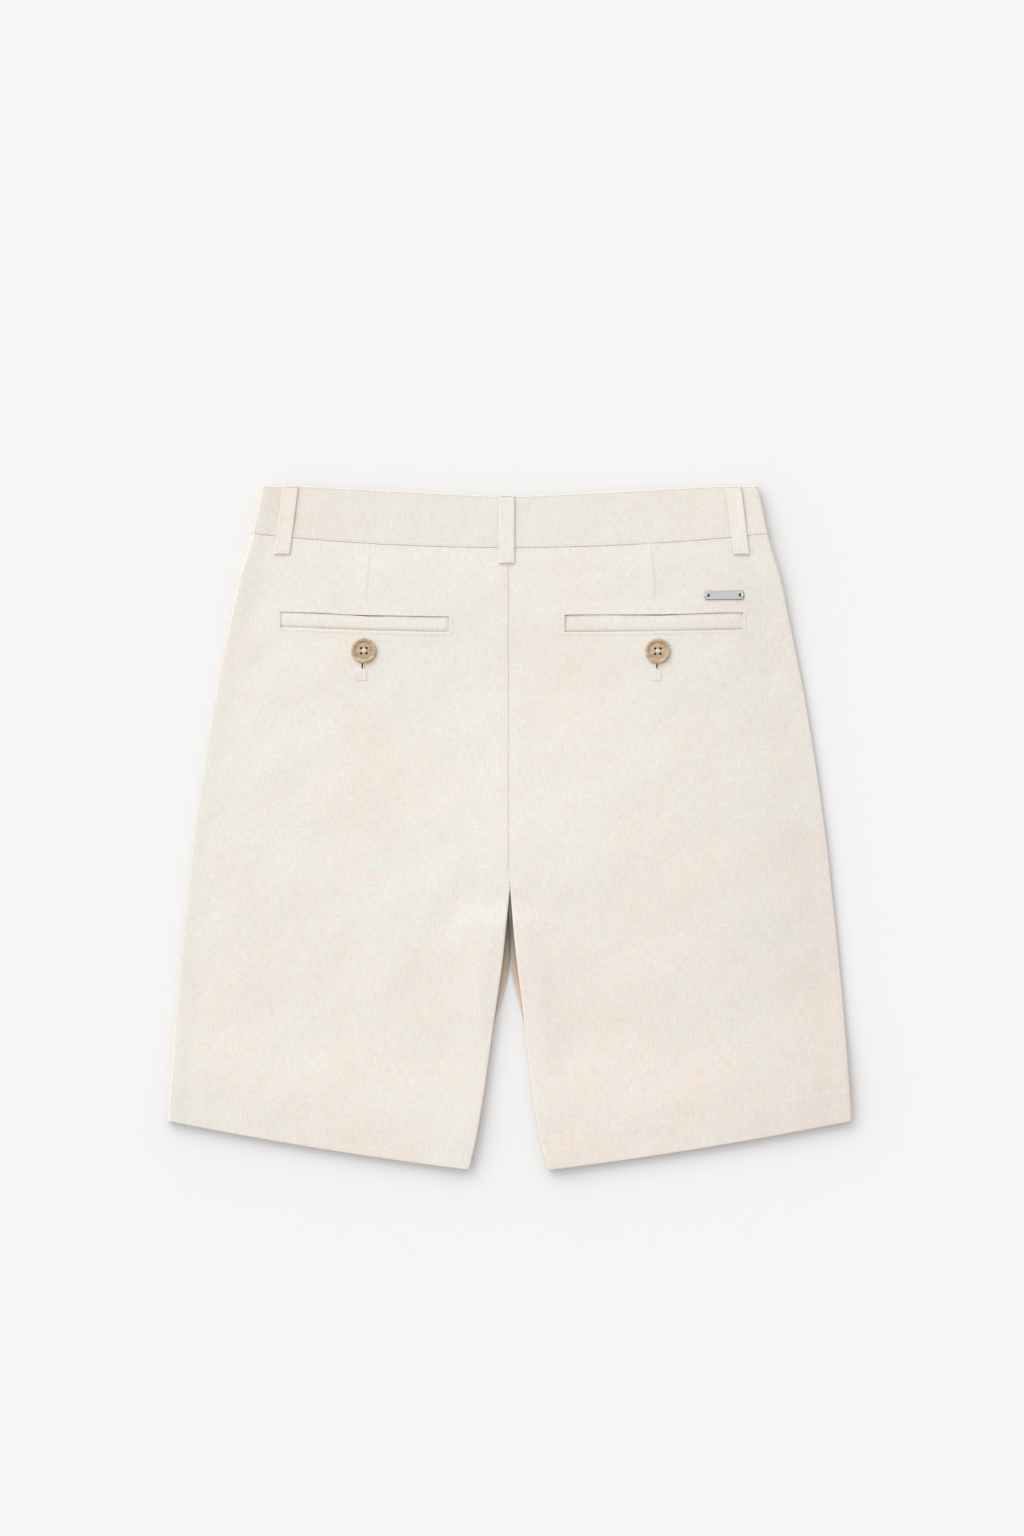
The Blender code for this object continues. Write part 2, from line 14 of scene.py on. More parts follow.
import bpy
import numpy as np
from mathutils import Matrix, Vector


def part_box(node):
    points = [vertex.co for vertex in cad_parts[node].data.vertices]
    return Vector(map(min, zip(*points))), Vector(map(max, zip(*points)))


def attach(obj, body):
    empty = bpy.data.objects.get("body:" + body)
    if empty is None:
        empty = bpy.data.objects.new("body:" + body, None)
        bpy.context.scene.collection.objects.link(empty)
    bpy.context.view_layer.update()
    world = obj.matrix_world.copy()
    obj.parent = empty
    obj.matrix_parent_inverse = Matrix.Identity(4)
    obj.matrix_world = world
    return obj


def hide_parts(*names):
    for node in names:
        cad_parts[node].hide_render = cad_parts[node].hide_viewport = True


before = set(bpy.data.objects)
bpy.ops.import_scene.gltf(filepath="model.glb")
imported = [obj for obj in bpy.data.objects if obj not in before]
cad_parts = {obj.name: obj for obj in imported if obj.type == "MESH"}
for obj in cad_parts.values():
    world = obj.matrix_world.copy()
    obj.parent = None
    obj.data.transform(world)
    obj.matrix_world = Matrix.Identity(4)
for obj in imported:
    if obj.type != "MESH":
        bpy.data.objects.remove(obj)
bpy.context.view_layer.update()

MM = 0.001
LOG = logging.getLogger("bermuda_shorts")

Array = np.ndarray
Piece = bpy.types.Object
Material = bpy.types.Material
Place = tuple[float, float, float]

LEAD_ROWS = 2
"""Rows of a leg panel that lie under its waistband."""
BACK_ROWS = 260
"""Rows of a back panel among which its crotch is."""
FLAP_ROWS = 12
"""Rows of a belt loop that are its fold and its flap, at each end."""
INNER_COLUMN = 20
"""A column of a back panel just inside its inner edge."""
BELOW_LOOP = 10
"""Rows of a back panel between its waist seam and the start of its centre topstitching."""
BAR_INSET = 4
"""Columns of a belt loop outside its bartack, at each edge."""
SLIT_POINTS = 24
"""Points along each side of a buttonhole."""
BAR_POINTS = 12
"""Points along each row of a buttonhole's bar."""
FLY_WIDTH = 35 * MM
"""Distance of the fly's straight row from the middle line."""
FLY_BEND_Y = 78 * MM
"""Height at which the fly's row starts to bend in."""
FLY_BEND_HEIGHT = 34 * MM
"""Height of the bend."""
FLY_END_X = 3 * MM
"""Distance of the bend's end from the middle line."""


class Side(Enum):
    """The wearer's side that a piece is on. The value is the sign of its X."""

    LEFT = -1
    RIGHT = 1

    @property
    def word(self) -> str:
        """The side's name as node names have it."""
        return self.name.lower()


class Face(Enum):
    """Which way the right side of a cloth piece looks."""

    UP = 1
    DOWN = -1


def smoothstep(part: Array | float) -> Array:
    """A soft step from 0 to 1.

    Args:
        part: Where on the step, from 0 to 1. Values outside are held at the ends.

    Returns:
        The height of the step there.
    """
    part = np.clip(part, 0.0, 1.0)
    return part * part * (3 - 2 * part)


def pressed(turn: Array, crispness: Array | float) -> tuple[Array, Array]:
    """Sine and cosine of a turn over a folded edge that has been pressed flat.

    Args:
        turn: The angle turned, in radians.
        crispness: From 0 for a round fold up to 1 for a square one.

    Returns:
        How far out and how far up the fold is, as parts of its radius.
    """
    power = 1.0 - crispness
    sine, cosine = np.sin(turn), np.cos(turn)
    return np.sign(sine) * np.abs(sine) ** power, np.sign(cosine) * np.abs(cosine) ** power


def mix(start: Array | float, end: Array | float, part: Array | float) -> Array:
    """The value a part of the way from start to end."""
    return start + (end - start) * part


@dataclass(frozen=True)
class SizeTable:
    """A smooth curve through a table of sizes in millimetres, whose heights run down."""

    heights: tuple[float, ...]
    sizes: tuple[float, ...]

    def at(self, y: Array) -> Array:
        """Reads the curve.

        Args:
            y: Heights in metres.

        Returns:
            The sizes there, in metres.
        """
        heights = np.array(self.heights) * MM
        sizes = np.array(self.sizes) * MM
        y = np.clip(y, heights[-1], heights[0])
        index = np.clip(np.searchsorted(-heights, -y) - 1, 0, len(heights) - 2)
        slopes = np.diff(sizes) / np.diff(heights)
        first = (slopes[np.maximum(index - 1, 0)] + slopes[index]) / 2
        last = (slopes[index] + slopes[np.minimum(index + 1, len(slopes) - 1)]) / 2
        span = heights[index + 1] - heights[index]
        t = (y - heights[index]) / span
        return (
            (2 * t**3 - 3 * t**2 + 1) * sizes[index]
            + (t**3 - 2 * t**2 + t) * span * first
            + (3 * t**2 - 2 * t**3) * sizes[index + 1]
            + (t**3 - t**2) * span * last
        )


@dataclass(frozen=True)
class Puff:
    """A soft swell of a back panel, in millimetres."""

    side: int
    x: float
    y: float
    width: float
    length: float
    height: float


@dataclass(frozen=True)
class Crease:
    """A soft trough from one place to another, in millimetres. A negative depth makes it a ridge."""

    start: tuple[float, float]
    end: tuple[float, float]
    bow: float
    width: float
    depth: float

    def height(self, x: Array, y: Array) -> Array:
        """How far the crease moves the cloth up at each place, in metres.

        Args:
            x: Places across the garment.
            y: Their heights on it.

        Returns:
            The rise at each place, below 0 in a trough.
        """
        across = (self.end[0] - self.start[0]) * MM
        down = (self.end[1] - self.start[1]) * MM
        length = math.hypot(across, down)
        from_x = x - self.start[0] * MM
        from_y = y - self.start[1] * MM
        along = (from_x * across + from_y * down) / length**2
        held = np.clip(along, 0.0, 1.0)
        off = (from_x * down - from_y * across) / length - self.bow * MM * 4 * held * (1 - held)
        taper = smoothstep(along / 0.4) * smoothstep((1 - along) / 0.4)
        return -self.depth * MM * taper * np.exp(-((off / (self.width * MM)) ** 2))


@dataclass(frozen=True)
class Wave:
    """A long shallow wave in laid cloth: its direction in degrees, and millimetres."""

    turn: float
    length: float
    height: float
    phase: float

    def lift(self, x: Array, y: Array) -> Array:
        """Height of the wave at each place, in metres.

        Args:
            x: Places across the garment.
            y: Their heights on it.

        Returns:
            The rise at each place.
        """
        turn = math.radians(self.turn)
        along = (x * math.cos(turn) + y * math.sin(turn)) / (self.length * MM)
        return self.height * MM * np.sin(2 * math.pi * along + self.phase)


@dataclass(frozen=True)
class LaidShape:
    """The form in which the shorts lie: their outline, their seams, and the heights of their layers."""

    seam_gap: float = 0.3 * MM
    fold_depth: float = 2.3 * MM
    crispness: float = 0.42
    hem_depth: float = 26.6 * MM
    crotch_y: float = -46.8 * MM
    seam_centre_y: float = 218.4 * MM
    seam_side_rise: float = 10.9 * MM
    seam_side_x: float = 200.0 * MM
    top_centre_y: float = 258.8 * MM
    top_side_rise: float = 7.8 * MM
    top_rise_x: float = 160.0 * MM
    top_rounding: float = 12.0 * MM
    front_drop: float = 26.0 * MM
    front_hem_short: float = 0.8 * MM
    hem_outer: tuple[float, float] = (266.7 * MM, -228.3 * MM)
    hem_inner: tuple[float, float] = (31.0 * MM, -266.4 * MM)
    hem_sag: float = 2.3 * MM
    flat_height: float = 2.45 * MM
    folded_height: float = 5.0 * MM
    panel_height_at_band: float = 4.92 * MM
    edge_height_flat: float = 3.0 * MM
    edge_height_folded: float = 5.8 * MM
    waist_full: float = 8.0 * MM
    waist_fade: float = 110.0 * MM
    hem_full: float = 30.0 * MM
    hem_fade: float = 80.0 * MM
    edge_blend: float = 16.0 * MM
    inner_blend: float = 42.0 * MM
    crotch_lift: float = 3.4 * MM
    crotch_lift_reach: float = 200.0 * MM
    crotch_swell: float = 3.0 * MM
    crotch_swell_top: float = 90.0 * MM
    crotch_swell_length: float = 150.0 * MM
    crotch_swell_width: float = 75.0 * MM
    lip: float = 0.15 * MM
    spread: float = 2.0 * MM
    crotch_roll_start: float = 4.0 * MM
    crotch_roll_length: float = 34.0 * MM
    puff_centre_fade: float = 35.0 * MM
    side_outline: SizeTable = SizeTable(
        (266.6, 252.0, 236.0, 226.0, 212.0, 193.4, 158.3, 111.5, 53.0, -5.5, -75.7, -146.0, -204.0, -229.0),
        (192.9, 196.4, 199.6, 201.8, 205.9, 211.4, 218.6, 228.1, 237.9, 246.2, 253.9, 260.5, 265.2, 266.7),
    )
    inseam_left: SizeTable = SizeTable(
        (-46.8, -64.0, -79.6, -103.0, -134.2, -157.6, -181.0, -212.2, -243.4, -266.4),
        (0.15, 1.3, 2.9, 5.3, 9.7, 13.2, 16.4, 20.7, 26.1, 31.4),
    )
    inseam_right: SizeTable = SizeTable(
        (-46.8, -64.0, -79.6, -103.0, -134.2, -157.6, -181.0, -212.2, -243.4, -266.4),
        (0.15, 1.1, 2.4, 5.0, 9.0, 11.8, 14.4, 17.9, 23.2, 29.4),
    )
    puffs: tuple[Puff, ...] = (
        Puff(-1, 128.0, 40.0, 62.0, 85.0, 0.9),
        Puff(-1, 205.0, -70.0, 34.0, 80.0, 0.6),
        Puff(-1, 95.0, -110.0, 48.0, 60.0, 1.0),
        Puff(-1, 165.0, 125.0, 40.0, 38.0, 0.5),
        Puff(1, 120.0, 20.0, 58.0, 80.0, 0.8),
        Puff(1, 195.0, -40.0, 36.0, 90.0, 0.7),
        Puff(1, 110.0, -130.0, 55.0, 55.0, 1.0),
        Puff(1, 150.0, 115.0, 44.0, 36.0, 0.5),
        Puff(-1, 113.0, 142.0, 66.0, 42.0, 0.8),
        Puff(1, 113.0, 142.0, 66.0, 42.0, 0.8),
    )
    creases: tuple[Crease, ...] = (
        Crease((6, -30), (38, -150), -7, 10, 0.75),
        Crease((30, -120), (54, -215), -3, 12, 0.5),
        Crease((-8, -26), (-62, -108), 8, 12, 0.55),
        Crease((-54, -92), (-92, -170), 5, 16, 0.4),
        Crease((-15, -70), (-27, -190), 2, 8, -0.4),
        Crease((18, -84), (29, -200), -2, 7, -0.35),
        Crease((148, 10), (186, -118), -9, 13, -0.5),
        Crease((-140, 70), (-192, -52), 10, 15, 0.45),
        Crease((-178, 146), (-208, 112), 3, 8, 0.35),
        Crease((182, 150), (212, 104), -4, 9, 0.4),
        Crease((12, 150), (9, 18), 3, 6, -0.3),
        Crease((-120, -60), (-150, -190), -9, 18, 0.4),
        Crease((88, -30), (118, -150), 8, 17, 0.35),
        Crease((60, 128), (20, 86), 4, 11, 0.3),
        Crease((-58, 122), (-24, 74), -4, 12, 0.3),
    )
    waves: tuple[Wave, ...] = (
        Wave(12, 61, 0.10, 0.4),
        Wave(74, 83, 0.12, 1.9),
        Wave(118, 47, 0.08, 3.1),
        Wave(38, 33, 0.05, 5.2),
        Wave(151, 27, 0.035, 2.2),
    )

    @property
    def fold_radius(self) -> float:
        """Radius of a folded edge."""
        return self.fold_depth / 2

    def folded(self, fold_steps: int, run_steps: int, length: float) -> tuple[Array, ...]:
        """Rows of cloth round a pressed fold and along the run that it turns in.

        Args:
            fold_steps: The number of rows round the fold.
            run_steps: The number of rows along the run.
            length: The length of the run.

        Returns:
            How far in from the fold each row is, how deep, and how far along the cloth.
        """
        radius = self.fold_radius
        turn = math.pi * np.arange(1, fold_steps + 1) / fold_steps
        run = length * np.arange(1, run_steps + 1) / run_steps
        out, up = pressed(turn, self.crispness)
        inward = np.concatenate([radius * (1 - out), radius + run])
        depth = np.concatenate([radius * (1 - up), np.full(len(run), self.fold_depth)])
        return inward, depth, np.concatenate([radius * turn, radius * math.pi + run])

    def side_x(self, y: Array) -> Array:
        """Distance from the middle line to the outer edge."""
        return self.side_outline.at(y)

    def inseam_x(self, y: Array, side: Side) -> Array:
        """Distance from the middle line to the inner edge."""
        table = self.inseam_left if side is Side.LEFT else self.inseam_right
        return table.at(y)

    def back_seam_y(self, x: Array) -> Array:
        """The seam between the back panels and their waistband."""
        part = np.minimum(np.abs(x), self.seam_side_x) / self.seam_side_x
        return self.seam_centre_y + self.seam_side_rise * part**2

    def band_height(self, x: Array) -> Array:
        """Height of the waistband, from its seam to its top edge.

        Args:
            x: Places across the garment.

        Returns:
            The height at each place.
        """
        rise = np.hypot(x, self.top_rounding) - self.top_rounding
        full = math.hypot(self.top_rise_x, self.top_rounding) - self.top_rounding
        return self.top_centre_y + self.top_side_rise * np.minimum(1.0, rise / full) - self.back_seam_y(x)

    def front_seam_y(self, x: Array) -> Array:
        """The seam of the front panels, which are cut lower at the middle."""
        part = np.minimum(np.abs(x), self.seam_side_x) / self.seam_side_x
        return self.back_seam_y(x) - self.front_drop * (1 - part**2)

    def hem_y(self, x: Array) -> Array:
        """The folded edge of the hem."""
        part = (np.abs(x) - self.hem_inner[0]) / (self.hem_outer[0] - self.hem_inner[0])
        return mix(self.hem_inner[1], self.hem_outer[1], part) - self.hem_sag * 4 * part * (1 - part)

    def folded_share(self, x: Array, y: Array) -> tuple[Array, Array]:
        """How far the layers are spread by the waistband and by the hem, each from 0 to 1.

        Args:
            x: Places across the garment.
            y: Their heights on it.

        Returns:
            The waistband's share and the hem's share.
        """
        waist = smoothstep(1 - (self.back_seam_y(x) - y - self.waist_full) / self.waist_fade)
        hem = smoothstep(1 - (y - self.hem_y(x) - self.hem_full) / self.hem_fade)
        return waist, hem

    def edge_height(self, x: Array, y: Array) -> Array:
        """Height of the garment at a rolled edge. The inseams stand up near the crotch.

        Args:
            x: Places across the garment.
            y: Their heights on it.

        Returns:
            The height at each place.
        """
        plain = mix(self.edge_height_flat, self.edge_height_folded, np.maximum(*self.folded_share(x, y)))
        near = smoothstep(1 - (self.crotch_y - y) / self.crotch_lift_reach) * self.crotch_roll(y)
        on_inseam = smoothstep((80 * MM - np.abs(x)) / (30 * MM))
        return plain + self.crotch_lift * near * on_inseam

    def puff_height(self, x: Array, y: Array) -> Array:
        """The soft swells of the back panels, and the broad one at the crotch.

        Args:
            x: Places across the garment.
            y: Their heights on it.

        Returns:
            The rise at each place.
        """
        total = np.zeros_like(x)
        for puff in self.puffs:
            across = (np.abs(x) - puff.x * MM) / (puff.width * MM)
            along = (y - puff.y * MM) / (puff.length * MM)
            total += np.where(puff.side * x > 0, puff.height * MM * np.exp(-(across**2) - along**2), 0.0)
        total *= smoothstep(np.abs(x) / self.puff_centre_fade)
        above = smoothstep((self.crotch_swell_top - y) / self.crotch_swell_length)
        below = smoothstep(1 - (self.crotch_y - y) / self.crotch_lift_reach)
        swell = above * below * np.exp(-((x / self.crotch_swell_width) ** 2))
        return total + self.crotch_swell * swell

    def flat_top(self, x: Array, y: Array) -> Array:
        """Height of the back's right side, away from the rolled edges.

        Args:
            x: Places across the garment.
            y: Their heights on it.

        Returns:
            The height at each place.
        """
        waist, hem = self.folded_share(x, y)
        spread = (self.panel_height_at_band - self.flat_height) * waist
        spread = spread + (self.folded_height - self.flat_height) * hem
        panel = self.flat_height + spread + self.puff_height(x, y) * (1 - waist) * (1 - hem)
        return np.where(y > self.back_seam_y(x), self.folded_height, panel)

    def crotch_roll(self, y: Array) -> Array:
        """How far the inner edges turn over: 0 at the centre seam, 1 along the inseam."""
        return smoothstep((self.crotch_y + self.crotch_roll_start - y) / self.crotch_roll_length)

    def roll_sizes(self, x: Array, y: Array, amount: Array) -> tuple[Array, ...]:
        """Radius, angle, spread and whole width of a rolled edge.

        Args:
            x: Places across the garment.
            y: Their heights on it.
            amount: How far the edge turns over, from 0 to 1.

        Returns:
            The four, each for every place.
        """
        radius = (self.edge_height(x, y) - self.seam_gap) / 2 - self.lip
        angle = amount * math.pi / 2
        spread = (1 - amount) * self.spread
        out, _ = pressed(angle, self.crispness * amount)
        reach = radius * out + spread + self.lip * np.cos(angle)
        return radius, angle, spread, reach

    def back_top(self, x: Array, y: Array) -> Array:
        """Height of the back's right side at any place on it, without its sewing's relief.

        Args:
            x: Places across the garment.
            y: Their heights on it.

        Returns:
            The height at each place.
        """
        x = np.asarray(x, float)
        y = np.asarray(y, float)
        side = np.where(x < 0, -1.0, 1.0)
        across = np.abs(x)
        outer = self.side_x(y)
        outer_start = outer - self.roll_sizes(side * outer, y, np.ones_like(y))[3]
        blend = smoothstep(1 - (outer_start - across) / self.edge_blend)
        amount = self.crotch_roll(y)
        inner = np.where(x < 0, self.inseam_left.at(y), self.inseam_right.at(y))
        inner_start = inner + self.roll_sizes(side * inner, y, amount)[3]
        blend = np.maximum(blend, amount * smoothstep(1 - (across - inner_start) / self.inner_blend))
        base = self.flat_top(x, y)
        return base + (self.edge_height(x, y) - base) * blend

    def soft_relief(self, x: Array, y: Array) -> Array:
        """The creases and waves that lie in the cloth between its seams.

        Args:
            x: Places across the garment.
            y: Their heights on it.

        Returns:
            The rise at each place.
        """
        total = np.zeros_like(x)
        for crease in self.creases:
            total += crease.height(x, y)
        for wave in self.waves:
            total += wave.lift(x, y)
        return total


@dataclass(frozen=True)
class StitchedEdge:
    """The raised strip between a folded edge and the row of stitches that holds it down."""

    width: float
    lift: float
    edge_drop: float
    groove: float
    allowance: float = 0.0
    allowance_lift: float = 0.0

    def height(self, distance: Array) -> Array:
        """How far the strip lifts the cloth at a distance in from the folded edge, in metres.

        Args:
            distance: Distances in from the folded edge.

        Returns:
            The lift at each distance.
        """
        width = self.width
        beyond = max(self.allowance, width * 1.5)
        places = (0.0, 0.12 * width, 0.35 * width, 0.72 * width, width, 1.3 * width, beyond, beyond + 3 * MM)
        lifts = (
            self.lift - self.edge_drop,
            self.lift - 0.3 * self.edge_drop,
            self.lift,
            0.85 * self.lift + 0.15 * self.allowance_lift,
            self.allowance_lift - self.groove,
            self.allowance_lift,
            self.allowance_lift,
            0.0,
        )
        return np.interp(distance, places, lifts)


def pucker(along: Array, away: Array, height: float, length: float, reach: float) -> Array:
    """Small uneven gathers beside a row of stitches.

    Args:
        along: Distance along the row.
        away: Distance from the row.
        height: Height of the gathers at the row.
        length: Their length along the row.
        reach: How far they reach from the row.

    Returns:
        How far they lift the cloth, in metres.
    """
    turn = 2 * math.pi * along / length
    wave = np.sin(turn + 1.9 * np.sin(turn / 4.7) + 0.8 * np.sin(turn / 2.3 + 1.0))
    return height * wave * np.exp(-((away / reach) ** 2))


@dataclass(frozen=True)
class Spacing:
    """Places across a sheet between its key lines: close together beside each line, further apart between."""

    stretches: tuple[float, ...]
    fine: float
    coarse: float
    reach: float = 2.5 * MM
    growth: float = 1.4

    def parts(self, length: float) -> Array:
        """Parts of one stretch, from 0 up to but not at its end.

        Args:
            length: The length of the stretch.

        Returns:
            The parts, in order.
        """
        if length < 2.5 * self.fine:
            return np.array([0.0])
        places = [0.0]
        step = self.fine
        while places[-1] + step < length / 2:
            places.append(places[-1] + step)
            if places[-1] > self.reach:
                step = min(step * self.growth, self.coarse)
        if len(places) == 1:
            return np.array([0.0, 0.5])
        half = np.array(places) * (length / 2 - step / 2) / places[-1]
        return np.concatenate([half, length - half[:0:-1]]) / length

    def places(self) -> tuple[Array, Array]:
        """The stretch that each place is in, and the part of it, up to the last key line.

        Returns:
            The stretches and the parts, one of each for every place.
        """
        stretch = []
        part = []
        for number, length in enumerate(self.stretches):
            parts = self.parts(length)
            stretch += [number] * len(parts)
            part += list(parts)
        return np.array(stretch + [len(self.stretches) - 1]), np.array(part + [1.0])

    def index_of(self, line: int) -> int:
        """The number of the place on a key line."""
        return sum(len(self.parts(length)) for length in self.stretches[:line])


def between(lines: Sequence[Array], stretch: Array, part: Array) -> Array:
    """Places between key lines that were worked out for the whole grid.

    Args:
        lines: Each key line's place at every grid point.
        stretch: The number of the stretch at every grid point.
        part: The part of that stretch.

    Returns:
        The place of every grid point.
    """
    stacked = np.stack(lines)
    first = np.take_along_axis(stacked, stretch[None], axis=0)[0]
    second = np.take_along_axis(stacked, stretch[None] + 1, axis=0)[0]
    return mix(first, second, part)


def deselect_all() -> None:
    """Leaves nothing selected, so that an operator acts only on what is chosen next."""
    if bpy.context.mode != "OBJECT":
        bpy.ops.object.mode_set(mode="OBJECT")
    bpy.ops.object.select_all(action="DESELECT")


def choose(piece: Piece) -> None:
    """Makes a piece the only one selected, and active.

    Args:
        piece: The piece.
    """
    deselect_all()
    piece.select_set(True)
    bpy.context.view_layer.objects.active = piece


def apply_modifier(piece: Piece, kind: str, **settings: object) -> None:
    """Adds a modifier with these settings, and applies it.

    Args:
        piece: The piece.
        kind: The modifier's type.
        **settings: Its settings, by name.
    """
    choose(piece)
    modifier = piece.modifiers.new(kind.lower(), kind)
    for name, value in settings.items():
        setattr(modifier, name, value)
    bpy.ops.object.modifier_apply(modifier=modifier.name)


def select_faces(piece: Piece, wanted: Array) -> None:
    """Selects only these faces of a piece, in object mode.

    Args:
        piece: The piece.
        wanted: Whether each face is wanted.
    """
    mesh = piece.data
    mesh.vertices.foreach_set("select", np.zeros(len(mesh.vertices), bool))
    mesh.edges.foreach_set("select", np.zeros(len(mesh.edges), bool))
    mesh.polygons.foreach_set("select", wanted)


@contextmanager
def editing(kind: str) -> Iterator[None]:
    """Edit mode on the active piece, where faces or edges are what is selected.

    Args:
        kind: FACE or EDGE.

    Yields:
        Nothing. What stands inside runs in edit mode.
    """
    bpy.ops.object.mode_set(mode="EDIT")
    bpy.ops.mesh.select_mode(type=kind)
    yield
    bpy.ops.object.mode_set(mode="OBJECT")


def mark(piece: Piece, name: str, values: Array) -> None:
    """Gives each point of a piece a number that its material reads."""
    piece.data.attributes.new(name, "FLOAT", "POINT").data.foreach_set("value", values)


def soften(piece: Piece, width: float, segments: int, sharp_from: float) -> None:
    """Rounds a piece's edges that turn by this many degrees or more."""
    limit = {"limit_method": "ANGLE", "angle_limit": math.radians(sharp_from)}
    apply_modifier(piece, "BEVEL", width=width, segments=segments, **limit)


def cut_out(piece: Piece, cutter: Piece) -> None:
    """Cuts a shape out of a piece, and then removes the shape."""
    apply_modifier(piece, "BOOLEAN", operation="DIFFERENCE", solver="EXACT", object=cutter)
    bpy.data.objects.remove(cutter)


def dress(piece: Piece, material: Material, sharp_from: float) -> None:
    """Gives a hard piece its material, and shades it smooth up to edges of this many degrees.

    Args:
        piece: The piece.
        material: Its material.
        sharp_from: The least angle of an edge that stays sharp.
    """
    choose(piece)
    bpy.ops.object.shade_smooth_by_angle(angle=math.radians(sharp_from))
    piece.data.materials.clear()
    piece.data.materials.append(material)


def add_piece(name: str, data: bpy.types.ID) -> Piece:
    """A new piece made of this data, in the scene and chosen.

    Args:
        name: The piece's name.
        data: Its mesh or its curve.

    Returns:
        The piece.
    """
    piece = bpy.data.objects.new(name, data)
    bpy.context.scene.collection.objects.link(piece)
    choose(piece)
    return piece


@dataclass
class ClothSheet:
    """One cut piece of cloth, as a grid of points on its right side and the flat place of each."""

    name: str
    points: Array
    flat: Array
    face: Face
    thickness: float = 0.6 * MM
    edge_round: float = 0.16 * MM
    holes: list[tuple[slice, slice]] = field(default_factory=list)

    def keep_mask(self) -> Array:
        """Which cells of the grid are cloth, and which are cut out.

        Returns:
            True for each cell that is cloth.
        """
        keep = np.ones((self.points.shape[0] - 1, self.points.shape[1] - 1), bool)
        for rows, columns in self.holes:
            keep[rows, columns] = False
        return keep

    def flat_size(self) -> tuple[float, float]:
        """Width and length of the piece before it was folded and sewn.

        Returns:
            The two sizes, in metres.
        """
        low = self.flat.reshape(-1, 2).min(axis=0)
        high = self.flat.reshape(-1, 2).max(axis=0)
        return float(high[0] - low[0]), float(high[1] - low[1])

    def flat_area(self) -> float:
        """Area of the flat piece, in square metres.

        Returns:
            The area, without the holes.
        """
        a = self.flat[1:, 1:] - self.flat[:-1, :-1]
        b = self.flat[1:, :-1] - self.flat[:-1, 1:]
        cells = np.abs(a[..., 0] * b[..., 1] - a[..., 1] * b[..., 0]) / 2
        return float((cells * self.keep_mask()).sum())

    def normals(self) -> Array:
        """The direction that the right side looks in, at each grid point.

        Returns:
            A direction for each grid point, 1 long.
        """
        down = np.gradient(self.points, axis=0)
        across = np.gradient(self.points, axis=1)
        normal = np.cross(down, across)
        normal /= np.linalg.norm(normal, axis=2, keepdims=True) + 1e-12
        middle = self.points.shape[1] // 2
        turned = np.sign(normal[len(normal) // 3, middle, 2]) != self.face.value
        return -normal if turned else normal

    def line_across(self, row: Array | float) -> tuple[Array, Array]:
        """Points and directions of a line across the columns, at one row number or one for each column.

        Args:
            row: The row number, or one for each column.

        Returns:
            The points, and the direction at each.
        """
        columns = np.arange(self.points.shape[1])
        row = np.broadcast_to(np.asarray(row, float), columns.shape)
        low = np.clip(row.astype(int), 0, self.points.shape[0] - 2)
        part = (row - low)[:, None]
        normals = self.normals()
        points = mix(self.points[low, columns], self.points[low + 1, columns], part)
        return points, mix(normals[low, columns], normals[low + 1, columns], part)

    def line_down(self, column: Array | float, rows: slice) -> tuple[Array, Array]:
        """Points and directions of a line down some rows, at one column number or one for each row.

        Args:
            column: The column number, or one for each row.
            rows: The rows that the line runs down.

        Returns:
            The points, and the direction at each.
        """
        numbers = np.arange(self.points.shape[0])[rows]
        column = np.broadcast_to(np.asarray(column, float), numbers.shape)
        low = np.clip(column.astype(int), 0, self.points.shape[1] - 2)
        part = (column - low)[:, None]
        normals = self.normals()
        points = mix(self.points[numbers, low], self.points[numbers, low + 1], part)
        return points, mix(normals[numbers, low], normals[numbers, low + 1], part)

    def build(self, material: Material) -> Piece:
        """Makes the piece: a grid, its holes, its laid form, its flat places as a UV map, and its thickness.

        Args:
            material: The cloth.

        Returns:
            The finished piece.
        """
        rows, columns = self.points.shape[:2]
        deselect_all()
        bpy.ops.mesh.primitive_grid_add(x_subdivisions=columns - 1, y_subdivisions=rows - 1, size=2.0)
        piece = bpy.context.object
        piece.name = self.name
        piece.data.name = self.name
        self.cut_holes(piece)
        mesh = piece.data
        row, column = self.grid_numbers(mesh)
        mesh.vertices.foreach_set("co", self.points[row, column].ravel())
        corner = np.zeros(len(mesh.loops), np.int32)
        mesh.loops.foreach_get("vertex_index", corner)
        layer = mesh.uv_layers.active
        layer.name = "cloth"
        layer.data.foreach_set("uv", self.flat[row, column][corner].ravel())
        mesh.update()
        upward = sum(polygon.normal.z * polygon.area for polygon in mesh.polygons)
        if (upward > 0) != (self.face is Face.UP):
            mesh.flip_normals()
        mesh.materials.append(material)
        apply_modifier(
            piece,
            "SOLIDIFY",
            thickness=self.thickness,
            offset=-1.0,
            use_even_offset=True,
            use_quality_normals=True,
        )
        soften(piece, self.edge_round, 2, 55)
        bpy.ops.object.shade_smooth_by_angle(angle=math.radians(38))
        return piece

    def grid_numbers(self, mesh: bpy.types.Mesh) -> tuple[Array, Array]:
        """The row and column of each vertex of the flat square grid.

        Args:
            mesh: The grid, which reaches from -1 to 1 both ways.

        Returns:
            The rows and the columns.
        """
        place = np.zeros(len(mesh.vertices) * 3)
        mesh.vertices.foreach_get("co", place)
        place = (place.reshape(-1, 3) + 1) / 2
        row = np.rint(place[:, 1] * (self.points.shape[0] - 1)).astype(int)
        column = np.rint(place[:, 0] * (self.points.shape[1] - 1)).astype(int)
        return row, column

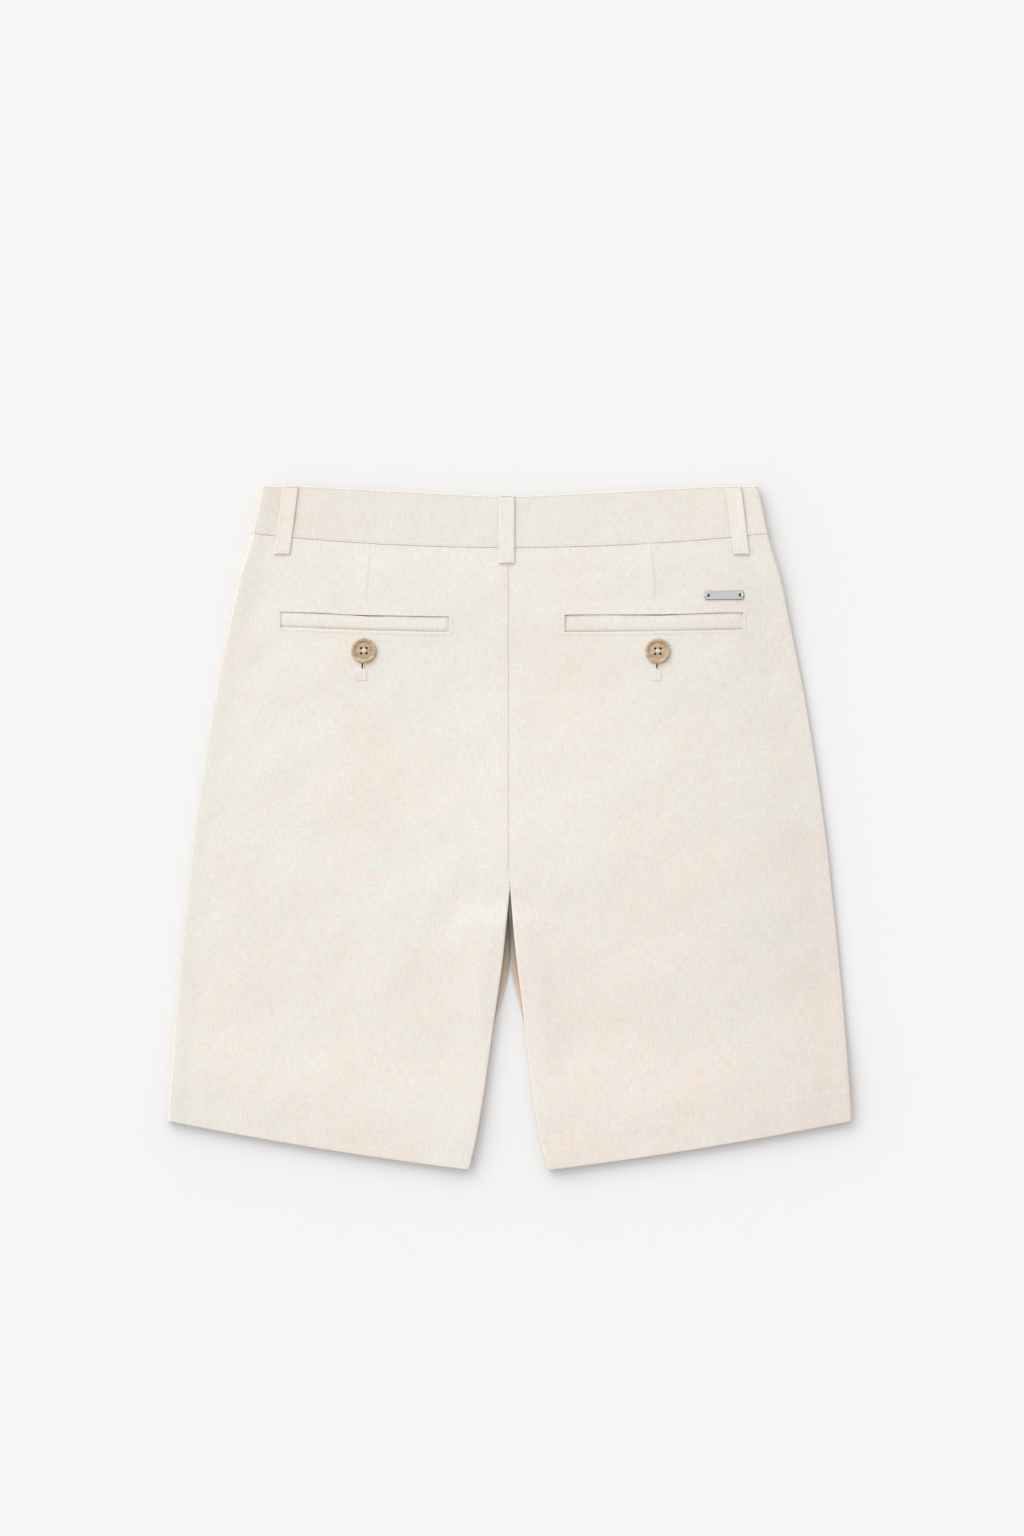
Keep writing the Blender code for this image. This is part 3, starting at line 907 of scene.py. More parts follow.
    def cut_holes(self, piece: Piece) -> None:
        """Deletes the grid's cells that are cut out of the cloth.

        Args:
            piece: The grid, which reaches from -1 to 1 both ways.
        """
        if not self.holes:
            return
        mesh = piece.data
        centre = np.zeros(len(mesh.polygons) * 3)
        mesh.polygons.foreach_get("center", centre)
        centre = (centre.reshape(-1, 3) + 1) / 2
        row = (centre[:, 1] * (self.points.shape[0] - 1)).astype(int)
        column = (centre[:, 0] * (self.points.shape[1] - 1)).astype(int)
        select_faces(piece, ~self.keep_mask()[row, column])
        with editing("FACE"):
            bpy.ops.mesh.delete(type="FACE")


@dataclass(frozen=True)
class RolledEdge:
    """The last stretch of a laid piece, which turns over towards the other layer."""

    shape: LaidShape
    outward: float
    on_back: bool
    steps: int = 10
    meeting: float = 0.14 * MM
    tuck: float = 0.22 * MM

    def lay(
        self, start_x: Array, y: Array, amount: Array, depth: Array, start_z: Array
    ) -> tuple[Array, Array]:
        """Lays the roll of every row.

        Args:
            start_x: Where the roll starts on each row.
            y: The row's height on the garment.
            amount: How far it turns over, from 0 to 1.
            depth: How far in the layer lies.
            start_z: The height of the right side at the start, with its relief and without its depth.

        Returns:
            Points, a row of them for each row, and their distances from the start along the cloth.
        """
        shape = self.shape
        radius, angle, spread, _ = shape.roll_sizes(start_x, y, amount)
        rise = -1.0 if self.on_back else 1.0
        part = np.arange(1, self.steps + 1) / self.steps
        turn = angle[:, None] * part
        inner = (radius - depth)[:, None]
        out, up = pressed(turn, shape.crispness * amount[:, None])
        x = start_x[:, None] + self.outward * (inner * out + spread[:, None] * part)
        z = (start_z - depth)[:, None] + rise * inner * (1 - up)
        cloth = radius[:, None] * turn + spread[:, None] * part
        lip = shape.lip + self.meeting * amount
        tuck = self.tuck * amount * (radius > 2 * depth)
        end_x = x[:, -1] + self.outward * lip * np.cos(angle) - self.outward * tuck
        end_z = z[:, -1] + rise * lip * np.sin(angle)
        x = np.column_stack([x, end_x])
        z = np.column_stack([z, end_z])
        cloth = np.column_stack([cloth, cloth[:, -1] + lip + tuck])
        points = np.stack([x, np.broadcast_to(y[:, None], x.shape), z], axis=2)
        return points, cloth


def with_rolls(
    name: str,
    face: Face,
    flats: Array,
    flat_y: Array,
    rolls: Sequence[tuple[Array, Array]],
    sign: float = 1.0,
) -> ClothSheet:
    """Joins a laid piece and the rolled edges at both its ends into one sheet.

    Args:
        name: The piece's name.
        face: Which way its right side looks.
        flats: The points between its rolled edges.
        flat_y: The height of each of them on the flat cloth.
        rolls: What RolledEdge.lay gives for the first end and for the last end.
        sign: 1 where its rows run towards +X, and -1 where they run towards -X.

    Returns:
        The sheet.
    """
    (first, first_cloth), (last, last_cloth) = rolls
    x = flats[:, :, 0]
    points = np.concatenate([first[:, ::-1], flats, last], axis=1)
    flat_x = (x[:, :1] - sign * first_cloth[:, ::-1], x, x[:, -1:] + sign * last_cloth)
    first_y = np.repeat(flat_y[:, :1], first.shape[1], 1)
    last_y = np.repeat(flat_y[:, -1:], last.shape[1], 1)
    places = (np.concatenate(flat_x, axis=1), np.concatenate([first_y, flat_y, last_y], axis=1))
    return ClothSheet(name, points, np.stack(places, axis=2), face)


@dataclass(frozen=True)
class PocketWindow:
    """The opening that a back pocket's welt fills, and the edge stitched round it. Sizes are millimetres."""

    side: Side
    x: float
    y: float
    length: float
    height: float
    tilt: float
    pull_x: float
    sag: float = 0.45
    pull_depth: float = 0.75
    pull_reach: float = 24.0
    gape: float = 0.6
    gape_reach: float = 15.0
    edge: StitchedEdge = StitchedEdge(2.35 * MM, 0.24 * MM, 0.1 * MM, 0.03 * MM, 6.5 * MM, 0.1 * MM)

    def mouth_shift(self, x: Array) -> Array:
        """How far the upper edge hangs out of line, most of all above the button."""
        off = (x - self.pull_x * MM) / (self.pull_reach * MM)
        return -self.pull_depth * MM * np.exp(-(off**2)) + 0.12 * MM * np.sin(x / (8.5 * MM) + 1.1)

    def mouth_gap(self, x: Array) -> Array:
        """How far the mouth stands open at each place."""
        off = (x - self.pull_x * MM) / (self.gape_reach * MM)
        return -0.02 * MM + self.gape * MM * np.exp(-(off**2)) + 0.12 * MM * np.sin(x / (6.1 * MM))

    def line_y(self, x: Array, up: float) -> Array:
        """A line along the window, at a distance above its middle."""
        tilt = math.radians(self.tilt)
        return self.y * MM + (x - self.x * MM) * math.tan(tilt) + up / math.cos(tilt)

    def top_y(self, x: Array) -> Array:
        """The window's upper edge."""
        return self.line_y(x, self.height * MM / 2) + self.mouth_shift(x)

    def bottom_y(self, x: Array) -> Array:
        """The window's lower edge, which sags a little between its ends."""
        off = (x - self.x * MM) / (self.length * MM / 2)
        return self.line_y(x, -self.height * MM / 2) - self.sag * MM * (1 - off**2)

    def ends(self) -> tuple[float, float]:
        """The inner and the outer end, as distances from the middle line."""
        return abs(self.x) * MM - self.length * MM / 2, abs(self.x) * MM + self.length * MM / 2

    def distance(self, x: Array, y: Array) -> Array:
        """Distance out of the window, and below 0 inside it.

        Args:
            x: Places across the garment.
            y: Their heights on it.

        Returns:
            The distance of each place.
        """
        inner, outer = self.ends()
        across = np.maximum(inner - np.abs(x), np.abs(x) - outer)
        up = np.maximum(y - self.top_y(x), self.bottom_y(x) - y)
        outside = np.hypot(np.maximum(across, 0), np.maximum(up, 0))
        return np.where((across > 0) | (up > 0), outside, np.maximum(across, up))

    def relief(self, x: Array, y: Array) -> Array:
        """How far the stitched edge lifts the panel.

        Args:
            x: Places across the garment.
            y: Their heights on it.

        Returns:
            The lift at each place.
        """
        distance = self.distance(x, y)
        fade = smoothstep((14 * MM - distance) / (4 * MM))
        gather = pucker(x + y, distance - self.edge.width, 0.05 * MM, 7.3 * MM, 4 * MM)
        return (self.edge.height(np.maximum(distance, 0)) + gather) * fade

    def frame_path(self, out: float, spacing: float) -> Array:
        """The closed path of the stitches round the window, this far out from it.

        Args:
            out: The path's distance from the window.
            spacing: The distance between its points.

        Returns:
            The points, with the first one again at the end.
        """
        inner, outer = self.ends()
        left = self.side.value * (inner - out)
        right = self.side.value * (outer + out)
        across = np.linspace(left, right, max(2, int(abs(right - left) / spacing)))
        upper = np.column_stack([across, self.top_y(across) + out])
        lower = np.column_stack([across[::-1], self.bottom_y(across[::-1]) - out])
        return np.concatenate([upper, lower, upper[:1]])


@dataclass(frozen=True)
class Dart:
    """A dart sewn into a back panel from the waist seam. Sizes are millimetres."""

    top_x: float
    end_x: float
    end_y: float
    step: float
    top_y: float = 222.0
    fade: float = 14.0
    furrow: float = 0.16
    furrow_width: float = 0.5
    fold_width: float = 12.0

    def x_at(self, y: Array) -> Array:
        """Distance of the dart's line from the middle line."""
        return np.interp(y, (self.end_y * MM, self.top_y * MM), (self.end_x * MM, self.top_x * MM))

    def relief(self, off: Array, y: Array) -> Array:
        """The dart's fine furrow, with its folded cloth on the left of it.

        Args:
            off: Distance to the right of the dart's line.
            y: Height on the garment.

        Returns:
            How far the dart lifts the cloth.
        """
        fade = smoothstep((y - self.end_y * MM) / (self.fade * MM))
        furrow = -self.furrow * MM * np.exp(-((off / (self.furrow_width * MM)) ** 2))
        folded = self.step * MM * smoothstep(0.5 - off / (0.8 * MM))
        folded = folded * smoothstep(1 + off / (self.fold_width * MM))
        return (furrow + folded) * fade


@dataclass(frozen=True)
class Slit:
    """A vertical buttonhole. Sizes are millimetres."""

    x: float
    top_y: float = 143.0
    bottom_y: float = 124.5
    width: float = 1.0
    bar_width: float = 8.0
    bar_shift: float = -0.8
    bar_height: float = 8.2
    bar_gap: float = 1.2
    bar_swell: float = 0.24
    purl: float = 1.1
    swell: float = 0.3

    def relief(self, across: Array, y: Array) -> Array:
        """The thickened cloth round the slit and under the bar below it.

        Args:
            across: Distances from the middle line.
            y: Heights on the garment.

        Returns:
            The lift at each place.
        """
        off = np.abs(across - abs(self.x) * MM)
        up = np.maximum(y - self.top_y * MM, self.bottom_y * MM - y)
        round_slit = smoothstep(1.6 - np.hypot(off, np.maximum(up, 0)) / (1.3 * MM))
        middle = (self.bottom_y - self.bar_gap - self.bar_height / 2) * MM
        beside = np.abs(across - (abs(self.x) + self.bar_shift * math.copysign(1.0, self.x)) * MM)
        out = np.maximum(beside - self.bar_width * MM / 2, np.abs(y - middle) - self.bar_height * MM / 2)
        on_bar = smoothstep(0.5 - out / (1.2 * MM))
        closed = -0.3 * MM * np.exp(-((off / (0.5 * MM)) ** 2)) * on_bar
        return self.swell * MM * round_slit + self.bar_swell * MM * on_bar + closed


@dataclass
class BackPanel:
    """A back leg panel, from under the waistband to its turned-up hem, with its pocket's window and slit."""

    shape: LaidShape
    side: Side
    window: PocketWindow
    dart: Dart
    slit: Slit
    tuck_depth: float = 0.66 * MM
    seam_shift: float = 1.0 * MM
    seam_tuck: float = 0.9 * MM
    slope_start: float = 0.15 * MM
    slope: float = 0.42 * MM
    centre_edge: StitchedEdge = StitchedEdge(1.6 * MM, 0.19 * MM, 0.14 * MM, 0.03 * MM, 10 * MM, 0.12 * MM)
    fold_steps: int = 12
    run_steps: int = 8

    def seam_share(self, y: Array) -> Array:
        """1 along the centre back seam, and 0 from the crotch down."""
        return smoothstep((y - self.shape.crotch_y) / (16 * MM))

    def seam_x(self, y: Array) -> Array:
        """The centre back seam, which lies a little to the left of the middle line."""
        return -(self.shape.seam_gap / 2 + self.seam_shift) * self.seam_share(y)

    def inner_edge(self, y: Array) -> Array:
        """Distance from the middle line to the inner edge. The right panel runs under the left one.

        Args:
            y: Heights on the garment.

        Returns:
            The distance at each height.
        """
        share = self.seam_share(y)
        shift = self.seam_shift if self.side is Side.LEFT else -self.seam_shift - self.seam_tuck
        return self.shape.inseam_x(y, self.side) + shift * share

    def key_columns(self, y: Array) -> list[Array]:
        """The key lines down the panel, as distances from the middle line.

        Args:
            y: Heights on the garment.

        Returns:
            The lines, from the inner edge to the outer one.
        """
        shape = self.shape
        sign = self.side.value
        inner = self.inner_edge(y)
        inner_start = inner + shape.roll_sizes(sign * inner, y, shape.crotch_roll(y))[3]
        outer = shape.side_x(y)
        outer_start = outer - shape.roll_sizes(sign * outer, y, np.ones_like(y))[3]
        window_inner, window_outer = self.window.ends()
        slit_x = abs(self.slit.x) * MM
        dart_x = np.where(y > self.dart.end_y * MM, self.dart.x_at(y), 0.0)
        heights = np.array([-262.0, 100.0, self.slit.top_y, self.dart.end_y]) * MM
        places = np.array([slit_x + 26 * MM, slit_x, slit_x, self.dart.end_x * MM])
        middle = np.where(y > self.dart.end_y * MM, dart_x, np.interp(y, heights, places))
        half = self.slit.width * MM / 2
        steady = np.ones_like(y)
        return [
            inner_start,
            window_inner * steady,
            middle - half,
            middle + half,
            window_outer * steady,
            outer_start,
        ]

    def key_rows(self, x: Array) -> list[Array]:
        """The key lines across the panel, as heights.

        Args:
            x: Places across the garment.

        Returns:
            The lines, from the waist seam down to the hem.
        """
        shape = self.shape
        steady = np.ones_like(x)
        return [
            shape.back_seam_y(x) - shape.seam_gap / 2,
            self.window.top_y(x),
            self.window.bottom_y(x),
            self.slit.top_y * MM * steady,
            self.slit.bottom_y * MM * steady,
            shape.hem_y(x) + shape.hem_depth,
            shape.hem_y(x) + shape.fold_radius,
        ]

    @property
    def columns(self) -> Spacing:
        """Places across the panel.

        Returns:
            The spacing, from the inner edge to the outer one.
        """
        inner, outer = self.window.ends()
        middle = abs(self.slit.x) * MM
        width = self.slit.width * MM
        stretches = (inner - 10 * MM, middle - inner - width / 2, width, outer - middle - width / 2, 62 * MM)
        return Spacing(stretches, 0.45 * MM, 2.55 * MM, 2.3 * MM)

    @property
    def rows(self) -> Spacing:
        """Places down the panel.

        Returns:
            The spacing, from the waist seam down to the hem.
        """
        top, bottom = self.slit.top_y * MM, self.slit.bottom_y * MM
        window_top = (self.window.y + self.window.height / 2) * MM
        window_bottom = (self.window.y - self.window.height / 2) * MM
        seam = self.shape.seam_centre_y + 5 * MM
        hem = self.shape.hem_inner[1] + 20 * MM
        stretches = (
            seam - window_top,
            window_top - window_bottom,
            window_bottom - top,
            top - bottom,
            bottom - hem - self.shape.hem_depth,
            self.shape.hem_depth - self.shape.fold_radius,
        )
        return Spacing(stretches, 0.45 * MM, 3.0 * MM, 2.3 * MM)

    def relief(self, x: Array, y: Array) -> Array:
        """All that the sewing and the laid cloth add to the panel's height.

        Args:
            x: Places across the garment.
            y: Their heights on it.

        Returns:
            The rise at each place.
        """
        shape = self.shape
        across = np.abs(x)
        away_waist = shape.back_seam_y(x) - y
        from_hem = y - shape.hem_y(x)
        outer_in = shape.side_x(y) - across
        soft = shape.soft_relief(x, y) * smoothstep(away_waist / (22 * MM)) * smoothstep(from_hem / (20 * MM))
        soft = soft * smoothstep(outer_in / (20 * MM))
        total = soft + self.window.relief(x, y)
        total += self.dart.relief(x - self.side.value * self.dart.x_at(y), y) + self.slit.relief(across, y)
        total += pucker(x, away_waist - 2 * MM, 0.09 * MM, 9.0 * MM, 6 * MM)
        hem_places = np.array([0.0, 1.5, 4.0, 23.0, 26.0, 26.6, 27.4, 31.0]) * MM
        hem_lifts = np.array([0.0, 0.06, 0.1, 0.12, 0.12, -0.06, 0.0, 0.0]) * MM
        total += np.interp(from_hem, hem_places, hem_lifts)
        total += pucker(x, from_hem - shape.hem_depth, 0.08 * MM, 7.7 * MM, 5 * MM)
        total += pucker(x, from_hem, 0.1 * MM, 31.0 * MM, 14 * MM)
        share = self.seam_share(y)
        if self.side is Side.LEFT:
            inward = self.seam_x(y) - x
            total += share * self.centre_edge.height(np.maximum(inward, 0))
            total += share * pucker(y, inward - self.centre_edge.width, 0.05 * MM, 9.1 * MM, 5 * MM)
        else:
            total += share * pucker(y, x, 0.04 * MM, 9.7 * MM, 6 * MM)
        return total

    def surface(self, x: Array, y: Array) -> Array:
        """Height of the panel's right side, away from its rolled edges."""
        return self.shape.back_top(x, y) + self.relief(x, y)

    def lay(self) -> ClothSheet:
        """Works out where every place of the panel lies.

        Returns:
            The panel's sheet, with its pocket window and slit as holes.
        """
        sign = self.side.value
        columns = self.columns
        rows = self.rows
        row_stretch, row_part = (grid[:, None] for grid in rows.places())
        column_stretch, column_part = (grid[None, :] for grid in columns.places())
        whole = (row_stretch.shape[0], column_stretch.shape[1])
        y = np.zeros(whole)
        x = np.full(whole, 0.1)
        for _ in range(8):
            y = between(self.key_rows(sign * x), np.broadcast_to(row_stretch, whole), row_part)
            x = between(self.key_columns(y), np.broadcast_to(column_stretch, whole), column_part)
        lead_x, lead_y, lead_depth = self.tucked_rows(x, y)
        fold_x, fold_y, fold_depth, fold_cloth = self.folded_rows(x, y)
        across = np.concatenate([lead_x, x, fold_x])
        place_y = np.concatenate([lead_y, y, fold_y])
        depth = np.concatenate([lead_depth, np.zeros(len(x)), fold_depth])
        flat_y = np.concatenate([lead_y, y, fold_cloth])
        return self.assemble(sign * across, place_y, depth, flat_y)

    def tucked_rows(self, x: Array, y: Array) -> tuple[Array, Array, Array]:
        """Two rows above the waist seam, where the panel runs up under the waistband.

        Args:
            x: Each place's distance from the middle line.
            y: Its height on the garment.

        Returns:
            The rows' distances from the middle line, their heights, and how deep each row lies.
        """
        seam = self.shape.back_seam_y(x[0])
        lifts = (1.5 * MM, 0.35 * MM)
        lead_y = np.stack([seam + lift for lift in lifts])
        lead_x = np.stack([self.key_columns_blend(lead, x[0], y[0]) for lead in lead_y])
        return lead_x, lead_y, np.full(LEAD_ROWS, self.tuck_depth)

    def key_columns_blend(self, y: Array, x: Array, from_y: Array) -> Array:
        """Moves a row of places to another height, keeping both its ends on the panel's edges.

        Args:
            y: The row's new heights.
            x: The row's distances from the middle line.
            from_y: The row's old heights.

        Returns:
            The row's new distances from the middle line.
        """
        old = self.key_columns(from_y)
        new = self.key_columns(y)
        part = (x - old[0]) / (old[-1] - old[0])
        return x + mix(new[0] - old[0], new[-1] - old[-1], part)

    def folded_rows(self, x: Array, y: Array) -> tuple[Array, ...]:
        """The rows round the hem's fold and up its turned-in run.

        Args:
            x: Each place's distance from the middle line.
            y: Its height on the garment.

        Returns:
            The rows' distances from the middle line, their heights, how deep each row lies, and their
            heights on the flat cloth.
        """
        radius = self.shape.fold_radius
        lift, depth, cloth = self.shape.folded(self.fold_steps, self.run_steps, self.shape.hem_depth - radius)
        hem = y[-1] - radius
        fold_y = np.stack([hem + step for step in lift])
        fold_x = np.stack([self.key_columns_blend(row, x[-1], y[-1]) for row in fold_y])
        return fold_x, fold_y, depth, np.stack([y[-1] - step for step in cloth])

    def sunk(self, x: Array, y: Array) -> Array:
        """How far down the right panel runs under the left one along the centre back seam.

        Args:
            x: Places across the garment.
            y: Their heights on it.

        Returns:
            How far at each place, and 0 all over the left panel.
        """
        if self.side is Side.LEFT:
            return np.zeros_like(x)
        step = smoothstep((self.seam_x(y) + self.slope_start - x) / self.slope)
        return self.tuck_depth * step * self.seam_share(y)

    def assemble(self, x: Array, y: Array, depth: Array, flat_y: Array) -> ClothSheet:
        """Sets every row at its height, adds the rolled edges at both its ends, and marks its holes.

        Args:
            x: Each place across the garment.
            y: Each place's height on the garment.
            depth: How far in the cloth of each row lies.
            flat_y: Each place's height on the flat cloth.

        Returns:
            The panel's sheet.
        """
        shape = self.shape
        sign = self.side.value
        share = np.clip(1 - depth / shape.fold_radius, 0.0, 1.0)
        top = shape.back_top(x, y) + self.relief(x, y) * share[:, None]
        flats = np.stack([x, y, top - depth[:, None] - self.sunk(x, y)], axis=2)
        ends = (RolledEdge(shape, -sign, True), RolledEdge(shape, sign, True))
        roll = shape.crotch_roll(y[:, 0])
        inner, inner_cloth = ends[0].lay(x[:, 0], y[:, 0], roll, depth, top[:, 0])
        outer = ends[1].lay(x[:, -1], y[:, -1], np.ones(len(y)), depth, top[:, -1])
        inner[:, :, 2] -= self.sunk(inner[:, :, 0], inner[:, :, 1])
        if self.side is Side.LEFT:
            rolled_relief = self.relief(inner[:, :, 0], inner[:, :, 1]) - self.relief(x[:, :1], y[:, :1])
            inner[:, :, 2] += rolled_relief * self.seam_share(inner[:, :, 1]) * share[:, None]
        name = f"back_panel_{self.side.word}_cloth"
        sheet = with_rolls(name, Face.UP, flats, flat_y, ((inner, inner_cloth), outer), sign)
        first = inner.shape[1]
        for (top_row, low_row), (near, far) in (((1, 2), (1, 4)), ((3, 4), (2, 3))):
            rows = (LEAD_ROWS + self.rows.index_of(line) for line in (top_row, low_row))
            columns = (first + self.columns.index_of(line) for line in (near, far))
            sheet.holes.append((slice(*rows), slice(*columns)))
        return sheet

    def centre_stitch_column(self, sheet: ClothSheet, rows: slice) -> Array:
        """The column number, on each row, at which the centre seam's topstitching lies.

        Args:
            sheet: The panel's sheet.
            rows: The rows that the topstitching runs down.

        Returns:
            A column number for each of them.
        """
        numbers = np.arange(sheet.points.shape[1])
        found = []
        for row in range(*rows.indices(sheet.points.shape[0])):
            x = sheet.points[row, :, 0]
            wanted = self.seam_x(sheet.points[row, :1, 1])[0] - self.centre_edge.width
            found.append(np.interp(-wanted, -x[:60], numbers[:60]))
        return np.array(found)


@dataclass
class FrontPanel:
    """A front leg panel. It lies under the back with its right side down, flat on the surface."""

    shape: LaidShape
    side: Side
    tuck_depth: float = 0.66 * MM
    fold_steps: int = 7
    run_steps: int = 4
    overhang_length: float = 112.0 * MM

    def edges(self, y: Array) -> tuple[Array, Array]:
        """Where the flat part of each row starts and ends, as distances from the middle line.

        Args:
            y: Heights on the garment.

        Returns:
            The starts and the ends.
        """
        shape = self.shape
        sign = self.side.value
        inner = shape.inseam_x(y, self.side) - 0.1 * MM * smoothstep((y - shape.crotch_y) / (8 * MM))
        inner_start = inner + shape.roll_sizes(sign * inner, y, shape.crotch_roll(y))[3] - self.overhang(y)
        outer = shape.side_x(y)
        return inner_start, outer - shape.roll_sizes(sign * outer, y, np.ones_like(y))[3]

    def overhang(self, y: Array) -> Array:
        """How far the inner edge reaches in past the back's, just below the crotch.

        Args:
            y: Heights on the garment.

        Returns:
            The distance at each height.
        """
        below = self.shape.crotch_y - y
        share = smoothstep(below / (6 * MM)) * smoothstep((self.overhang_length - below) / (65 * MM))
        return share * np.maximum(1.15 * self.shape.inseam_x(y, self.side) - 0.3 * MM, 0)

    def lay(self) -> ClothSheet:
        """Works out where every place of the panel lies.

        Returns:
            The panel's sheet.
        """
        shape = self.shape
        sign = self.side.value
        across = Spacing((230 * MM,), 0.8 * MM, 5.0 * MM).places()[1][None, :]
        down = Spacing((470 * MM,), 0.8 * MM, 5.0 * MM).places()[1][:, None]
        y = np.zeros((down.shape[0], across.shape[1]))
        x = np.full(y.shape, 0.1)
        for _ in range(8):
            top = shape.front_seam_y(x) - shape.seam_gap / 2
            bottom = shape.hem_y(x) + shape.front_hem_short + shape.fold_radius
            y = mix(top, bottom, down)
            start, end = self.edges(y)
            x = mix(start, end, across)
        radius = shape.fold_radius
        lift, fold_depth, cloth = shape.folded(self.fold_steps, self.run_steps, shape.hem_depth - radius)
        depth = np.concatenate([np.full(LEAD_ROWS, self.tuck_depth), np.zeros(len(y)), fold_depth])
        seam = shape.front_seam_y(x[0])
        lead = np.stack([seam + 1.5 * MM, seam + 0.35 * MM])
        fold = np.stack([y[-1] - radius + step for step in lift])
        flat_y = np.concatenate([lead, y, np.stack([y[-1] - step for step in cloth])])
        place_y = np.concatenate([lead, y, fold])
        start, end = self.edges(place_y)
        x = sign * mix(start, end, across)
        z = np.broadcast_to(depth[:, None], x.shape)
        flats = np.stack([x, place_y, z], axis=2)
        ends = (RolledEdge(shape, -sign, False, steps=6), RolledEdge(shape, sign, False, steps=6))
        level = 2 * depth
        roll = shape.crotch_roll(place_y[:, 0])
        inner, inner_cloth = ends[0].lay(x[:, 0], place_y[:, 0], roll, depth, level)
        climb = (np.arange(1, inner.shape[1] + 1) / inner.shape[1]) ** 4
        inner[:, :, 0] += sign * self.overhang(place_y[:, :1]) * climb
        outer = ends[1].lay(x[:, -1], place_y[:, -1], np.ones(len(x)), depth, level)
        name = f"front_panel_{self.side.word}_cloth"
        return with_rolls(name, Face.DOWN, flats, flat_y, ((inner, inner_cloth), outer), sign)


